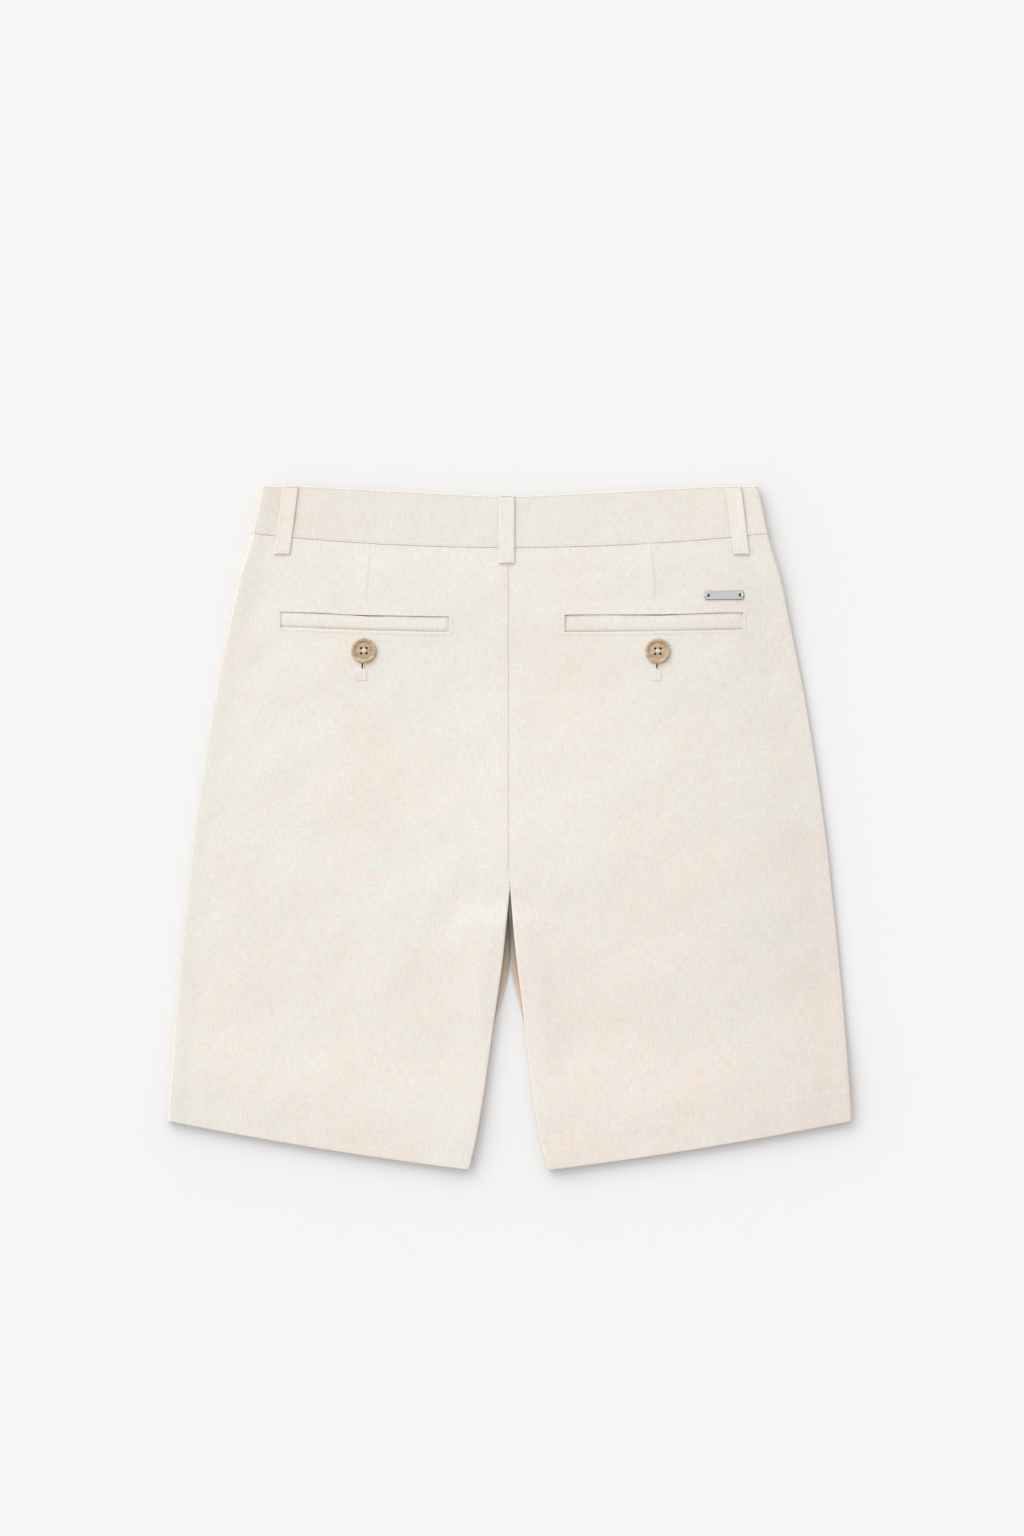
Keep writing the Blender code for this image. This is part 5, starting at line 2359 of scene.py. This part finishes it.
@dataclass(frozen=True)
class Tone:
    """A colour as a screen shows it, from 0 to 255."""

    red: float
    green: float
    blue: float

    def linear(self, gain: float = 1.0) -> tuple[float, float, float, float]:
        """The colour as light, times a gain.

        Args:
            gain: What the light is multiplied by.

        Returns:
            Its red, green and blue, and a 1.
        """
        parts = [channel / 255 for channel in (self.red, self.green, self.blue)]
        light = [part / 12.92 if part <= 0.04045 else ((part + 0.055) / 1.055) ** 2.4 for part in parts]
        return (light[0] * gain, light[1] * gain, light[2] * gain, 1.0)


class ShaderNodes:
    """A material's node tree, written as expressions."""

    def __init__(self, name: str) -> None:
        """Makes an empty material with its output.

        Args:
            name: The material's name.
        """
        self.material = bpy.data.materials.new(name)
        self.material.use_nodes = True
        self.tree = self.material.node_tree
        self.tree.nodes.clear()
        self.output = self.tree.nodes.new("ShaderNodeOutputMaterial")

    def node(self, kind: str, settings: dict[str, object], **inputs: object) -> dict[str, Wire]:
        """Adds a node.

        Args:
            kind: Its type.
            settings: Its own settings, by name.
            **inputs: Values or links for its sockets, by name, with _ for a space. A name that ends in a
                number, such as Value_1, is the socket of that number.

        Returns:
            Its outputs by name.
        """
        made = self.tree.nodes.new(kind)
        for name, value in settings.items():
            setattr(made, name, value)
        for name, value in inputs.items():
            word, _, number = name.rpartition("_")
            numbered = word and number.isdigit()
            socket = made.inputs[int(number) if numbered else name.replace("_", " ")]
            if isinstance(value, Wire):
                self.tree.links.new(value.socket, socket)
            else:
                socket.default_value = value
        return {output.name: Wire(self, output) for output in made.outputs if output.enabled}

    def math(self, operation: str, *values: "Wire | float") -> Wire:
        """Adds a Math node."""
        inputs = {f"Value_{number}": value for number, value in enumerate(values)}
        return self.node("ShaderNodeMath", {"operation": operation}, **inputs)["Value"]

    def blend(self, factor: "Wire | float", first: object, second: object, how: str = "MIX") -> Wire:
        """Mixes two colours.

        Args:
            factor: The share of the second colour.
            first: The first colour.
            second: The second colour.
            how: The way in which they are mixed.

        Returns:
            The mixed colour.
        """
        settings = {"data_type": "RGBA", "blend_type": how}
        made = self.node("ShaderNodeMix", settings, Factor_0=factor, A_6=first, B_7=second)
        return made["Result"]

    def stretched(self, place: Wire, scale: Sequence[float], shift: Sequence[float] = (0, 0, 0)) -> Wire:
        """A place scaled along each axis and then moved.

        Args:
            place: The place.
            scale: What each axis is multiplied by.
            shift: What each axis is then moved by.

        Returns:
            The new place.
        """
        for operation, amount in (("MULTIPLY", scale), ("ADD", shift)):
            inputs = {"Vector_0": place, "Vector_1": tuple(amount)}
            place = self.node("ShaderNodeVectorMath", {"operation": operation}, **inputs)["Vector"]
        return place

    def noise(self, place: Wire, scale: float, detail: float = 2.0, rough: float = 0.5) -> Wire:
        """Soft random values from 0 to 1."""
        inputs = {"Vector": place, "Scale": scale, "Detail": detail, "Roughness": rough}
        return self.node("ShaderNodeTexNoise", {"noise_dimensions": "3D"}, **inputs)["Fac"]

    def millimetres(self) -> Wire:
        """The place on the object, in millimetres."""
        return self.stretched(self.node("ShaderNodeTexCoord", {})["Object"], (1000.0, 1000.0, 1000.0))

    def attribute(self, name: str) -> Wire:
        """A number that the piece's own points carry."""
        return self.node("ShaderNodeAttribute", {"attribute_name": name})["Fac"]

    def bump(self, strength: float, distance: float, height: Wire) -> Wire:
        """The surface's direction where a height raises it."""
        return self.node("ShaderNodeBump", {}, Strength=strength, Distance=distance, Height=height)["Normal"]

    def facing_up(self) -> Wire:
        """How much the surface faces up: 1 on a level top, and -1 on a level underside."""
        facing = self.node("ShaderNodeNewGeometry", {})["Normal"]
        return self.node("ShaderNodeSeparateXYZ", {}, Vector=facing)["Z"]

    def upright(self) -> Wire:
        """How level the surface lies: 1 where it is flat, and 0 where it stands upright."""
        return self.facing_up().size()

    def finish(self, **inputs: object) -> Material:
        """Adds the shader with these inputs, and gives the finished material.

        Args:
            **inputs: Values or links for the shader's sockets, by name.

        Returns:
            The material.
        """
        shader = self.node("ShaderNodeBsdfPrincipled", {}, **inputs)["BSDF"]
        self.tree.links.new(shader.socket, self.output.inputs["Surface"])
        return self.material


@dataclass(frozen=True)
class ClothFinish:
    """A soft cotton cloth of mixed pale yarns: a fine weave, slubs along the warp, and a faint mottle. Its
    colour also carries painted shade: darker and warmer lower down and towards the right leg's outer side, on
    steep faces and turned edges, on the upward side of a front panel, and deep in the crotch.
    """

    name: str
    pale: Tone
    warm: Tone
    gain: float = 0.9505
    # Painted shade on steep faces and turned edges.
    rim_shade: float = 0.42
    # Painted shade deep in the crotch: where it starts, how dark, and how brown.
    crotch_y: float = -47.5
    hollow_shade: float = 0.6
    hollow_tint: float = 0.32
    # Painted shade on a front panel's upward side.
    inner_shade: float = 0.0
    warmth: float = 0.5
    # Painted shade: the next four fields make the cloth darker and warmer lower down, and towards +X, the
    # right leg's outer side.
    warmth_down: float = 0.7
    warmth_out: float = 0.0
    shade_down: float = 0.075
    shade_out: float = 0.0
    warp_pitch: float = 0.52
    weft_pitch: float = 0.58
    slub: float = 0.135
    mottle: float = 1.22
    tint: float = 0.075
    weave_height: float = 0.035 * MM

    def material(self) -> Material:
        """Builds the cloth's shader on the piece's own UV map, which is in metres.

        Returns:
            The material.
        """
        nodes = ShaderNodes(self.name)
        uv = nodes.node("ShaderNodeUVMap", {"uv_map": "cloth"})["UV"]
        place = nodes.stretched(uv, (1000.0, 1000.0, 0.0))
        parts = nodes.node("ShaderNodeSeparateXYZ", {}, Vector=place)
        drift = nodes.noise(place, 0.16, 2.0) * 2.4
        across = (parts["X"] + drift) * (2 * math.pi / self.warp_pitch)
        along = (parts["Y"] + drift) * (2 * math.pi / self.weft_pitch)
        weave = across.sine() * along.sine()
        warp_slub = nodes.noise(nodes.stretched(place, (0.66, 0.15, 1.0)), 1.0, 3.0, 0.6) - 0.5
        weft_slub = nodes.noise(nodes.stretched(place, (0.16, 0.6, 1.0), (31, 17, 5)), 1.0, 2.0, 0.6) - 0.5
        fleck = nodes.noise(nodes.stretched(place, (0.5, 0.42, 1.0), (7, 3, 9)), 1.0, 2.0, 0.7) - 0.5
        lilac = nodes.noise(nodes.stretched(place, (0.12, 0.1, 1.0), (2, 6, 1)), 1.0, 2.0) - 0.5
        straw = nodes.noise(nodes.stretched(place, (0.14, 0.13, 1.0), (9, 4, 7)), 1.0, 2.0) - 0.5
        soft = nodes.noise(nodes.stretched(place, (0.1, 0.085, 1.0), (3, 8, 2)), 1.0, 2.0, 0.55) - 0.5
        broad = nodes.noise(nodes.stretched(place, (0.013, 0.011, 1.0), (5, 1, 4)), 1.0, 1.0) - 0.5
        # Painted shade: darker and warmer lower down, and towards +X where a finish sets it.
        down = 0.18 - parts["Y"] * MM
        out = nodes.math("MAXIMUM", parts["X"] * MM, 0.0)
        warmth = self.warmth + down * self.warmth_down + out * self.warmth_out
        hue = (warmth + (soft * 1.6 + fleck * 0.8 + broad * 1.3) * self.mottle).held()
        colour = nodes.blend(hue, self.pale.linear(self.gain), self.warm.linear(self.gain))
        light = 1.0 + (warp_slub * 0.85 + weft_slub * 0.5 + fleck * 0.45) * self.slub * 2 + weave * 0.012
        light = light - down * self.shade_down - out * out * self.shade_out
        # Painted shade: the inner edges just below the crotch, down in the gap between the legs, are coloured
        # darker and browner.
        below = self.crotch_y - parts["Y"]
        turned_under = (0.6 + below * 0.085 - parts["X"].size()) / 0.8
        hollow = (below / 5.0).held() * (1.6 - below / 48.0).held() * turned_under.held()
        light = light * (1.0 - hollow * self.hollow_shade)
        # Painted shade: steep faces and turned edges are coloured darker, and warmer through the channel
        # weights below.
        lean = 1.0 - nodes.upright()
        # Painted shade: on a front panel, faces that look up are coloured darker, as the shaded inside.
        inside = ((nodes.facing_up() - 0.7) * 5.0).held() * self.inner_shade
        rim = (lean * 0.4 + lean * lean) * self.rim_shade + inside
        rim = nodes.math("MAXIMUM", rim, hollow * self.hollow_tint)
        tints = {
            "Red": (light + (lilac * 0.5 + straw * 0.35) * self.tint) * (1.0 - rim * 0.85),
            "Green": (light + (straw * 0.35 - lilac * 0.5) * self.tint) * (1.0 - rim * 1.15),
            "Blue": (light + (lilac * 0.8 - straw * 0.8) * self.tint) * (1.0 - rim * 1.4),
        }
        tinted = nodes.node("ShaderNodeCombineColor", {}, **tints)["Color"]
        colour = nodes.blend(1.0, colour, tinted, "MULTIPLY")
        height = weave * 0.2 + warp_slub * 1.4 + weft_slub * 0.7
        return nodes.finish(
            Base_Color=colour,
            Roughness=0.92,
            Specular_IOR_Level=0.18,
            Sheen_Weight=0.06,
            Sheen_Roughness=0.5,
            Normal=nodes.bump(1.0, self.weave_height, height),
        )


@dataclass(frozen=True)
class ThreadFinish:
    """Spun cotton thread, with the slant of its twist, and painted shade where it goes down into a hole."""

    name: str = "thread"
    tone: Tone = Tone(253, 247, 238)
    # Painted shade: the colour of thread down in a hole.
    deep: Tone = Tone(166, 138, 117)
    gain: float = 1.04

    def material(self) -> Material:
        """Builds the thread's shader.

        Returns:
            The material.
        """
        nodes = ShaderNodes(self.name)
        place = nodes.millimetres()
        parts = nodes.node("ShaderNodeSeparateXYZ", {}, Vector=place)
        twist = ((parts["X"] + parts["Y"] + parts["Z"]) * 14.0).sine()
        patch = nodes.noise(place, 0.8, 2.0) - 0.5
        tone = self.tone.linear(self.gain)
        shade = tuple(channel * 0.92 for channel in tone[:3]) + (1.0,)
        colour = nodes.blend((0.5 + twist * 0.25 + patch * 0.6).held(), shade, tone)
        # Painted shade: thread marked as sunk takes the dark tone.
        sunk = nodes.attribute("sunk")
        colour = nodes.blend(sunk, colour, self.deep.linear())
        return nodes.finish(
            Base_Color=colour,
            Roughness=0.75,
            Specular_IOR_Level=0.25,
            Sheen_Weight=0.1,
            Normal=nodes.bump(0.6, 0.03 * MM, twist),
        )


@dataclass(frozen=True)
class HornFinish:
    """Polished pale horn: tan, with darker streaks and a few pale flecks, and painted shade in its holes."""

    name: str = "horn"
    pale: Tone = Tone(219, 197, 166)
    dark: Tone = Tone(178, 150, 120)
    stained: Tone = Tone(36, 20, 10)
    gain: float = 0.95

    def material(self) -> Material:
        """Builds the horn's shader.

        Returns:
            The material.
        """
        nodes = ShaderNodes(self.name)
        place = nodes.millimetres()
        warped = nodes.stretched(place, (0.16, 0.62, 0.3))
        streak = nodes.noise(warped, 1.0, 5.0, 0.62)
        fleck = nodes.noise(place, 1.3, 3.0, 0.6)
        share = ((streak - 0.34) * 2.4 + (fleck - 0.5) * 0.7).held()
        colour = nodes.blend(share, self.dark.linear(self.gain), self.pale.linear(self.gain))
        # Painted shade in the holes, and a little darkening round the well and the edge.
        stain = nodes.attribute("stain")
        colour = nodes.blend(stain.held(), colour, self.stained.linear(self.gain))
        return nodes.finish(
            Base_Color=colour,
            Roughness=0.34 + fleck * 0.16,
            Specular_IOR_Level=0.3,
            Coat_Weight=0.05,
            Coat_Roughness=0.25,
            Normal=nodes.bump(0.35, 0.05 * MM, streak),
        )


@dataclass(frozen=True)
class MetalFinish:
    """Brushed bare metal, its brushing along the plate."""

    name: str = "brushed_metal"
    tone: Tone = Tone(218, 218, 221)
    # Painted shade: the colour of the rounded edges and the holes.
    edge: Tone = Tone(104, 100, 95)

    def material(self) -> Material:
        """Builds the metal's shader, with painted shade: dark on the plate's rounded edges and in its holes.

        Returns:
            The material.
        """
        nodes = ShaderNodes(self.name)
        place = nodes.millimetres()
        brushed = nodes.noise(nodes.stretched(place, (0.12, 9.0, 1.0)), 1.0, 4.0, 0.6)
        worn = nodes.noise(place, 0.5, 3.0)
        tone = self.tone.linear()
        dull = tuple(channel * 0.84 for channel in tone[:3]) + (1.0,)
        colour = nodes.blend((brushed * 0.7 + worn * 0.4).held(), dull, tone)
        # Painted shade: faces that turn away from level take the dark edge tone.
        turned = ((0.97 - nodes.upright()) * 7.0).held()
        colour = nodes.blend(turned, colour, self.edge.linear())
        rough = 0.3 + brushed * 0.18 + worn * 0.08
        bump = nodes.bump(0.3, 0.02 * MM, brushed)
        return nodes.finish(Base_Color=colour, Metallic=0.6, Roughness=rough, Normal=bump)


@dataclass(frozen=True)
class FloorFinish:
    """A plain pale floor."""

    name: str = "studio_floor"
    albedo: float = 0.868

    def material(self) -> Material:
        """Builds the floor's shader.

        Returns:
            The material.
        """
        nodes = ShaderNodes(self.name)
        colour = (self.albedo, self.albedo, self.albedo, 1.0)
        return nodes.finish(Base_Color=colour, Roughness=1.0, Specular_IOR_Level=0.0)


@dataclass(frozen=True)
class Studio:
    """A plain pale floor, a surround and a broad soft light, brighter to the upper left, and the camera."""

    camera_place: Place = (0.0016, 0.0468, 2.829)
    lens: float = 85.0
    surround: float = 1.395
    overhead_loss: float = 0.5
    lean: float = 0.75
    floor_z: float = -0.8 * MM
    key: float = 0.9
    key_height: float = 27.0
    key_turn: float = 36.0
    key_spread: float = 38.0

    def build(self) -> None:
        """Makes the floor, the lights and the camera."""
        deselect_all()
        bpy.ops.mesh.primitive_plane_add(size=10.0, location=(0.0, 0.0, self.floor_z))
        floor = bpy.context.object
        floor.name = "studio_floor"
        bpy.ops.object.transform_apply(location=True, rotation=True, scale=True)
        floor.data.materials.append(FloorFinish().material())
        world = bpy.data.worlds.new("studio_surround")
        world.use_nodes = True
        tree = world.node_tree
        background = tree.nodes["Background"]
        background.inputs["Color"].default_value = (1.0, 1.0, 1.0, 1.0)
        direction = tree.nodes.new("ShaderNodeTexCoord")
        split = tree.nodes.new("ShaderNodeSeparateXYZ")
        fall = tree.nodes.new("ShaderNodeMath")
        fall.operation = "MULTIPLY_ADD"
        fall.inputs[1].default_value = -self.surround * self.overhead_loss
        fall.inputs[2].default_value = self.surround
        turn = math.radians(self.key_turn)
        lean = tree.nodes.new("ShaderNodeVectorMath")
        lean.operation = "DOT_PRODUCT"
        lean.inputs[1].default_value = (-self.lean * math.sin(turn), self.lean * math.cos(turn), 0.0)
        both = tree.nodes.new("ShaderNodeMath")
        both.operation = "MULTIPLY_ADD"
        tree.links.new(direction.outputs["Generated"], split.inputs[0])
        tree.links.new(direction.outputs["Generated"], lean.inputs[0])
        tree.links.new(split.outputs["Z"], fall.inputs[0])
        tree.links.new(fall.outputs[0], both.inputs[0])
        tree.links.new(lean.outputs["Value"], both.inputs[1])
        tree.links.new(fall.outputs[0], both.inputs[2])
        tree.links.new(both.outputs[0], background.inputs["Strength"])
        bpy.context.scene.world = world
        bpy.ops.object.light_add(type="SUN")
        light = bpy.context.object
        light.name = "key_light"
        light.data.energy = self.key
        light.data.angle = math.radians(self.key_spread)
        light.rotation_euler = (math.radians(self.key_height - 90.0), 0.0, math.radians(self.key_turn))
        bpy.ops.object.camera_add(location=self.camera_place, rotation=(0.0, 0.0, 0.0))
        camera = bpy.context.object
        camera.name = "camera"
        camera.data.lens = self.lens
        camera.data.sensor_width = 36.0
        bpy.context.scene.camera = camera
        bpy.context.scene.view_settings.view_transform = "Standard"


@dataclass
class Shorts:
    """The dressed shorts: every cloth piece, its sewing, the buttons and the plate."""

    shape: LaidShape = field(default_factory=LaidShape)

    def add(self, piece: Piece, slot: str, *nodes: str) -> None:
        """Lets a piece ride with the garment, in place of its nodes, and reports it.

        Args:
            piece: The piece.
            slot: The slot of its material. Not used.
            *nodes: The nodes that it takes the place of.
        """
        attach(piece, "root")
        if nodes:
            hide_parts(*nodes)
        LOG.info("%s: %d faces", piece.name, len(piece.data.polygons))

    def add_cloth(
        self, sheet: ClothSheet, node: str, cloth: Material
    ) -> None:
        """Args:
            sheet: The sheet.
            node: The node that it takes the place of.
            cloth: Its material.
        """
        piece = sheet.build(cloth)
        self.add(piece, "cloth", node)
        sheet.flat_size()
        sheet.flat_area()


WINDOWS = {
    Side.LEFT: PocketWindow(Side.LEFT, -112.9, 160.4, 131.6, 12.1, -1.75, -110.0),
    Side.RIGHT: PocketWindow(Side.RIGHT, 112.2, 160.3, 139.0, 13.2, 0.8, 114.0),
}
DARTS = {Side.LEFT: Dart(108.4, 111.9, 174.3, 0.3), Side.RIGHT: Dart(110.0, 114.2, 174.3, 0.42)}
SLITS = {Side.LEFT: Slit(-115.0), Side.RIGHT: Slit(114.5)}
BUTTONS = (Button(Side.LEFT, -113.7, 138.1), Button(Side.RIGHT, 115.2, 137.8))
LOOPS = (
    ("centre", -2.6, -2.6, 259.2, 205.9),
    ("left", -170.8, -177.6, 266.4, 212.9),
    ("right", 173.7, 180.4, 266.4, 212.9),
)


def on_surface(panel: BackPanel, path: Array) -> Array:
    """A flat path lifted on to a panel's right side."""
    return np.column_stack([path, panel.surface(path[:, 0], path[:, 1])])


def make_back(shorts: Shorts, cloths: dict[str, Material], sewing: Sewing, hole_sewing: Sewing) -> None:
    """Makes the back panels with their pockets and seams, and their buttonholes, which are sewn darker.

    Args:
        shorts: The shorts.
        cloths: The cloth of each part, by name.
        sewing: The sewing of the seams.
        hole_sewing: The sewing of the buttonholes.
    """
    shape = shorts.shape
    for side in Side:
        panel = BackPanel(shape, side, WINDOWS[side], DARTS[side], SLITS[side])
        sheet = panel.lay()
        node = f"back_panel_{side.word}"
        shorts.add_cloth(sheet, node, cloths[side.word])
        welt = Welt(shape, WINDOWS[side]).lay()
        shorts.add_cloth(welt, f"welt_{side.word}", cloths[side.word])
        window = WINDOWS[side]
        frame_path = on_surface(panel, window.frame_path(window.edge.width, 0.8 * MM))
        rows = [Stitching.level(frame_path)]
        hem_row = LEAD_ROWS + panel.rows.index_of(5)
        rows.append(Stitching(*sheet.line_across(float(hem_row)), dulled=0.16))
        if side is Side.LEFT:
            below_loop = LEAD_ROWS + BELOW_LOOP
            from_end = sheet.points[:BACK_ROWS, INNER_COLUMN, 1] - shape.crotch_y - 8 * MM
            crotch = int(np.argmin(np.abs(from_end)))
            down = slice(below_loop, crotch)
            column = panel.centre_stitch_column(sheet, down)
            rows.append(Stitching(*sheet.line_down(column, down)))
        shorts.add(sewing.sew(f"back_stitches_{side.word}", rows), "thread")
        shorts.add(hole_sewing.sew(f"buttonhole_{side.word}", buttonhole_rows(panel)), "thread")


def buttonhole_rows(panel: BackPanel) -> list[Stitching]:
    """The purl stitches round a slit, and the small stitched bar below it.

    Args:
        panel: The back panel.

    Returns:
        The rows of stitches.
    """
    slit = panel.slit
    x = slit.x * MM
    top = slit.top_y * MM
    bottom = slit.bottom_y * MM
    down = np.linspace(top, bottom, SLIT_POINTS)
    rows = []
    for off in (-1, 1):
        edge_x = x + off * (slit.width / 2 + slit.purl / 2) * MM
        path = on_surface(panel, np.column_stack([np.full(SLIT_POINTS, edge_x), down]))
        rows.append(Stitching.level(path, 0.55 * MM, slit.purl * MM, crosswise=True))
    half = slit.bar_width * MM / 2
    high = bottom - slit.bar_gap * MM
    low = high - slit.bar_height * MM
    bar_x = x + slit.bar_shift * MM
    left, right = bar_x - half, bar_x + half
    outline = np.array([(left, high), (left, low), (right, low), (right, high)])
    for start, end in zip(outline, outline[1:]):
        path = on_surface(panel, np.linspace(start, end, BAR_POINTS))
        rows.append(Stitching.level(path, 1.2 * MM, 1.05 * MM, dulled=0.3))
    middle = on_surface(panel, np.linspace((x, high + 0.8 * MM), (x, low), BAR_POINTS))
    rows.append(Stitching.level(middle, 1.0 * MM, 0.9 * MM, dulled=0.45))
    return rows


def make_front(shorts: Shorts, cloths: dict[str, Material], sewing: Sewing) -> None:
    """Makes the front panels and the front halves of the waistband, which lie underneath.

    Args:
        shorts: The shorts.
        cloths: The cloth of each part, by name.
        sewing: The sewing of the front.
    """
    shape = shorts.shape
    rows = []
    for side in Side:
        panel = FrontPanel(shape, side)
        sheet = panel.lay()
        shorts.add_cloth(sheet, f"front_panel_{side.word}", cloths["front"])
        hem = np.abs(sheet.points[:, :, 1] - shape.hem_y(sheet.points[:, :, 0]) - shape.hem_depth)
        turned_in = panel.fold_steps + panel.run_steps + 1
        hem_row = float(np.argmin(hem[:-turned_in, sheet.points.shape[1] // 2]))
        rows.append(Stitching(*sheet.line_across(hem_row)))
        ends = (-1, 0) if side is Side.LEFT else (0, 1)
        band = Waistband(shape, f"waistband_front_{side.word}_cloth", *ends, on_back=False)
        band_sheet = band.lay()
        shorts.add_cloth(band_sheet, f"waistband_front_{side.word}", cloths["band"])
        rows += band_stitches(band, band_sheet)
    rows.append(fly_stitches(shape))
    shorts.add(sewing.sew("front_stitches", rows), "thread")


def fly_stitches(shape: LaidShape) -> Stitching:
    """The curved row that holds the fly's facing, down beside the front seam.

    Args:
        shape: The form in which the shorts lie.

    Returns:
        The row of stitches.
    """
    top = float(shape.front_seam_y(np.array(FLY_WIDTH))) - 2 * MM
    down = np.linspace(top, FLY_BEND_Y, 20)
    straight = np.column_stack([np.full(len(down), FLY_WIDTH), down])
    turn = np.linspace(0, math.pi / 2, 16)[1:]
    bend_x = FLY_END_X + (FLY_WIDTH - FLY_END_X) * np.cos(turn)
    bend = np.column_stack([bend_x, FLY_BEND_Y - FLY_BEND_HEIGHT * np.sin(turn)])
    path = np.concatenate([straight, bend])
    path = np.column_stack([path, np.full(len(path), 0.12 * MM)])
    return Stitching.level(path, up=-1.0)


def band_stitches(band: Waistband, sheet: ClothSheet) -> list[Stitching]:
    """The rows of stitches above a waistband's seam and below its top edge.

    Args:
        band: The waistband.
        sheet: Its sheet.

    Returns:
        The lower row and the upper one.
    """
    cloth_up = sheet.flat[:, :, 1]
    numbers = np.arange(cloth_up.shape[0])
    rows = []
    last = cloth_up.shape[0] - band.fold_steps - band.run_steps - 1
    top = cloth_up[last] + band.shape.fold_radius
    for wanted in (cloth_up[0] + band.lower_edge.width, top - band.upper_edge.width):
        found = [np.interp(wanted[c], cloth_up[:, c], numbers) for c in range(cloth_up.shape[1])]
        rows.append(Stitching(*sheet.line_across(np.array(found))))
    return rows


def make_waist(shorts: Shorts, cloths: dict[str, Material], sewing: Sewing, loop_sewing: Sewing) -> None:
    """Makes the back waistband and the belt loops over it, whose own sewing is paler.

    Args:
        shorts: The shorts.
        cloths: The cloth of each part, by name.
        sewing: The sewing of the band.
        loop_sewing: The sewing of the belt loops.
    """
    shape = shorts.shape
    band = Waistband(shape, "waistband_back_cloth", -1, 1, on_back=True)
    sheet = band.lay()
    shorts.add_cloth(sheet, "waistband_back", cloths["band"])
    shorts.add(sewing.sew("waistband_stitches", band_stitches(band, sheet)), "thread")
    rows = []
    for word, *sizes in LOOPS:
        loop = BeltLoop(shape, word, *sizes)
        strip = loop.lay()
        shorts.add_cloth(strip, f"belt_loop_{word}", cloths["loop"])
        first = FLAP_ROWS
        down = slice(first - 1, strip.points.shape[0] - first + 1)
        for column in loop.stitch_columns(strip):
            rows.append(Stitching(*strip.line_down(column, down), pitch=2.1 * MM, length=1.5 * MM))
        for number in (first, strip.points.shape[0] - first + 1):
            bar = strip.line_across(float(number))
            inset = (line[BAR_INSET:-BAR_INSET] for line in bar)
            rows.append(Stitching(*inset, 0.5 * MM, 1.5 * MM, crosswise=True))
    shorts.add(loop_sewing.sew("belt_loop_stitches", rows), "thread")


def make_trims(shorts: Shorts, horn: Material, metal: Material, sewing: Sewing) -> None:
    """Makes the buttons and the plate, and the thread that holds them.

    Args:
        shorts: The shorts.
        horn: The buttons' material.
        metal: The plate's material.
        sewing: The thread that holds them.
    """
    for button in BUTTONS:
        shorts.add(button.build(horn), "horn", button.node)
        radius = button.thread_radius * MM
        # Painted shade: the thread down in the button's holes is coloured dark.
        deep = button.well_floor - 0.3 * MM
        thread = sewing.strands(f"{button.node}_thread", button.thread_runs(), radius, deep)
        shorts.add(thread, "thread")
    plate = NamePlate()
    shorts.add(plate.build(metal), "metal", plate.node)
    centre = plate.centre()
    cloth_z = float(shorts.shape.back_top(np.array(centre.x), np.array(centre.y)))
    runs = plate.thread_runs(cloth_z)
    # Painted shade: the thread in the plate's holes, and where it goes down to the cloth, is coloured dark.
    shorts.add(sewing.strands("name_plate_thread", runs, 0.27 * MM, plate.top - 0.05 * MM), "thread")


def main() -> None:
    """Dresses the shorts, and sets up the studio."""
    logging.basicConfig(level=logging.INFO, format="%(message)s")
    pale = Tone(238, 236.8, 227)
    warm = Tone(242.5, 230, 220)
    cloths = {
        "left": ClothFinish("cloth_left", pale, warm, warmth=0.3).material(),
        # The right leg is painted darker and warmer towards its outer side, as shade.
        "right": ClothFinish(
            "cloth_right", pale, warm, warmth=0.37, warmth_out=0.45, shade_out=1.3
        ).material(),
        # The front's upward side gets painted shade.
        "front": ClothFinish("cloth_front", pale, warm, warmth=0.33, inner_shade=0.3).material(),
        "band": ClothFinish("cloth_band", pale, warm, gain=0.912, warmth=0.48).material(),
        # The belt loops' edges get stronger painted shade.
        "loop": ClothFinish("cloth_loop", pale, warm, warmth=0.45, rim_shade=0.65).material(),
    }
    shorts = Shorts()
    sewing = Sewing(ThreadFinish().material())
    # Painted shade: each thread's second tone is its colour down in a hole.
    pale_sewing = Sewing(ThreadFinish("pale_thread", Tone(250, 240, 226), Tone(48, 34, 24)).material())
    loop_thread = ThreadFinish("loop_thread", deep=Tone(184, 160, 141))
    loop_sewing = Sewing(loop_thread.material(), radius=0.22 * MM)
    hole_thread = ThreadFinish("buttonhole_thread", deep=Tone(122, 90, 70))
    hole_sewing = Sewing(hole_thread.material())
    make_back(shorts, cloths, sewing, hole_sewing)
    make_front(shorts, cloths, Sewing(sewing.material, seat=-0.1))
    make_waist(shorts, cloths, sewing, loop_sewing)
    make_trims(shorts, HornFinish().material(), MetalFinish().material(), pale_sewing)
    Studio().build()


if __name__ == "__main__":
    main()
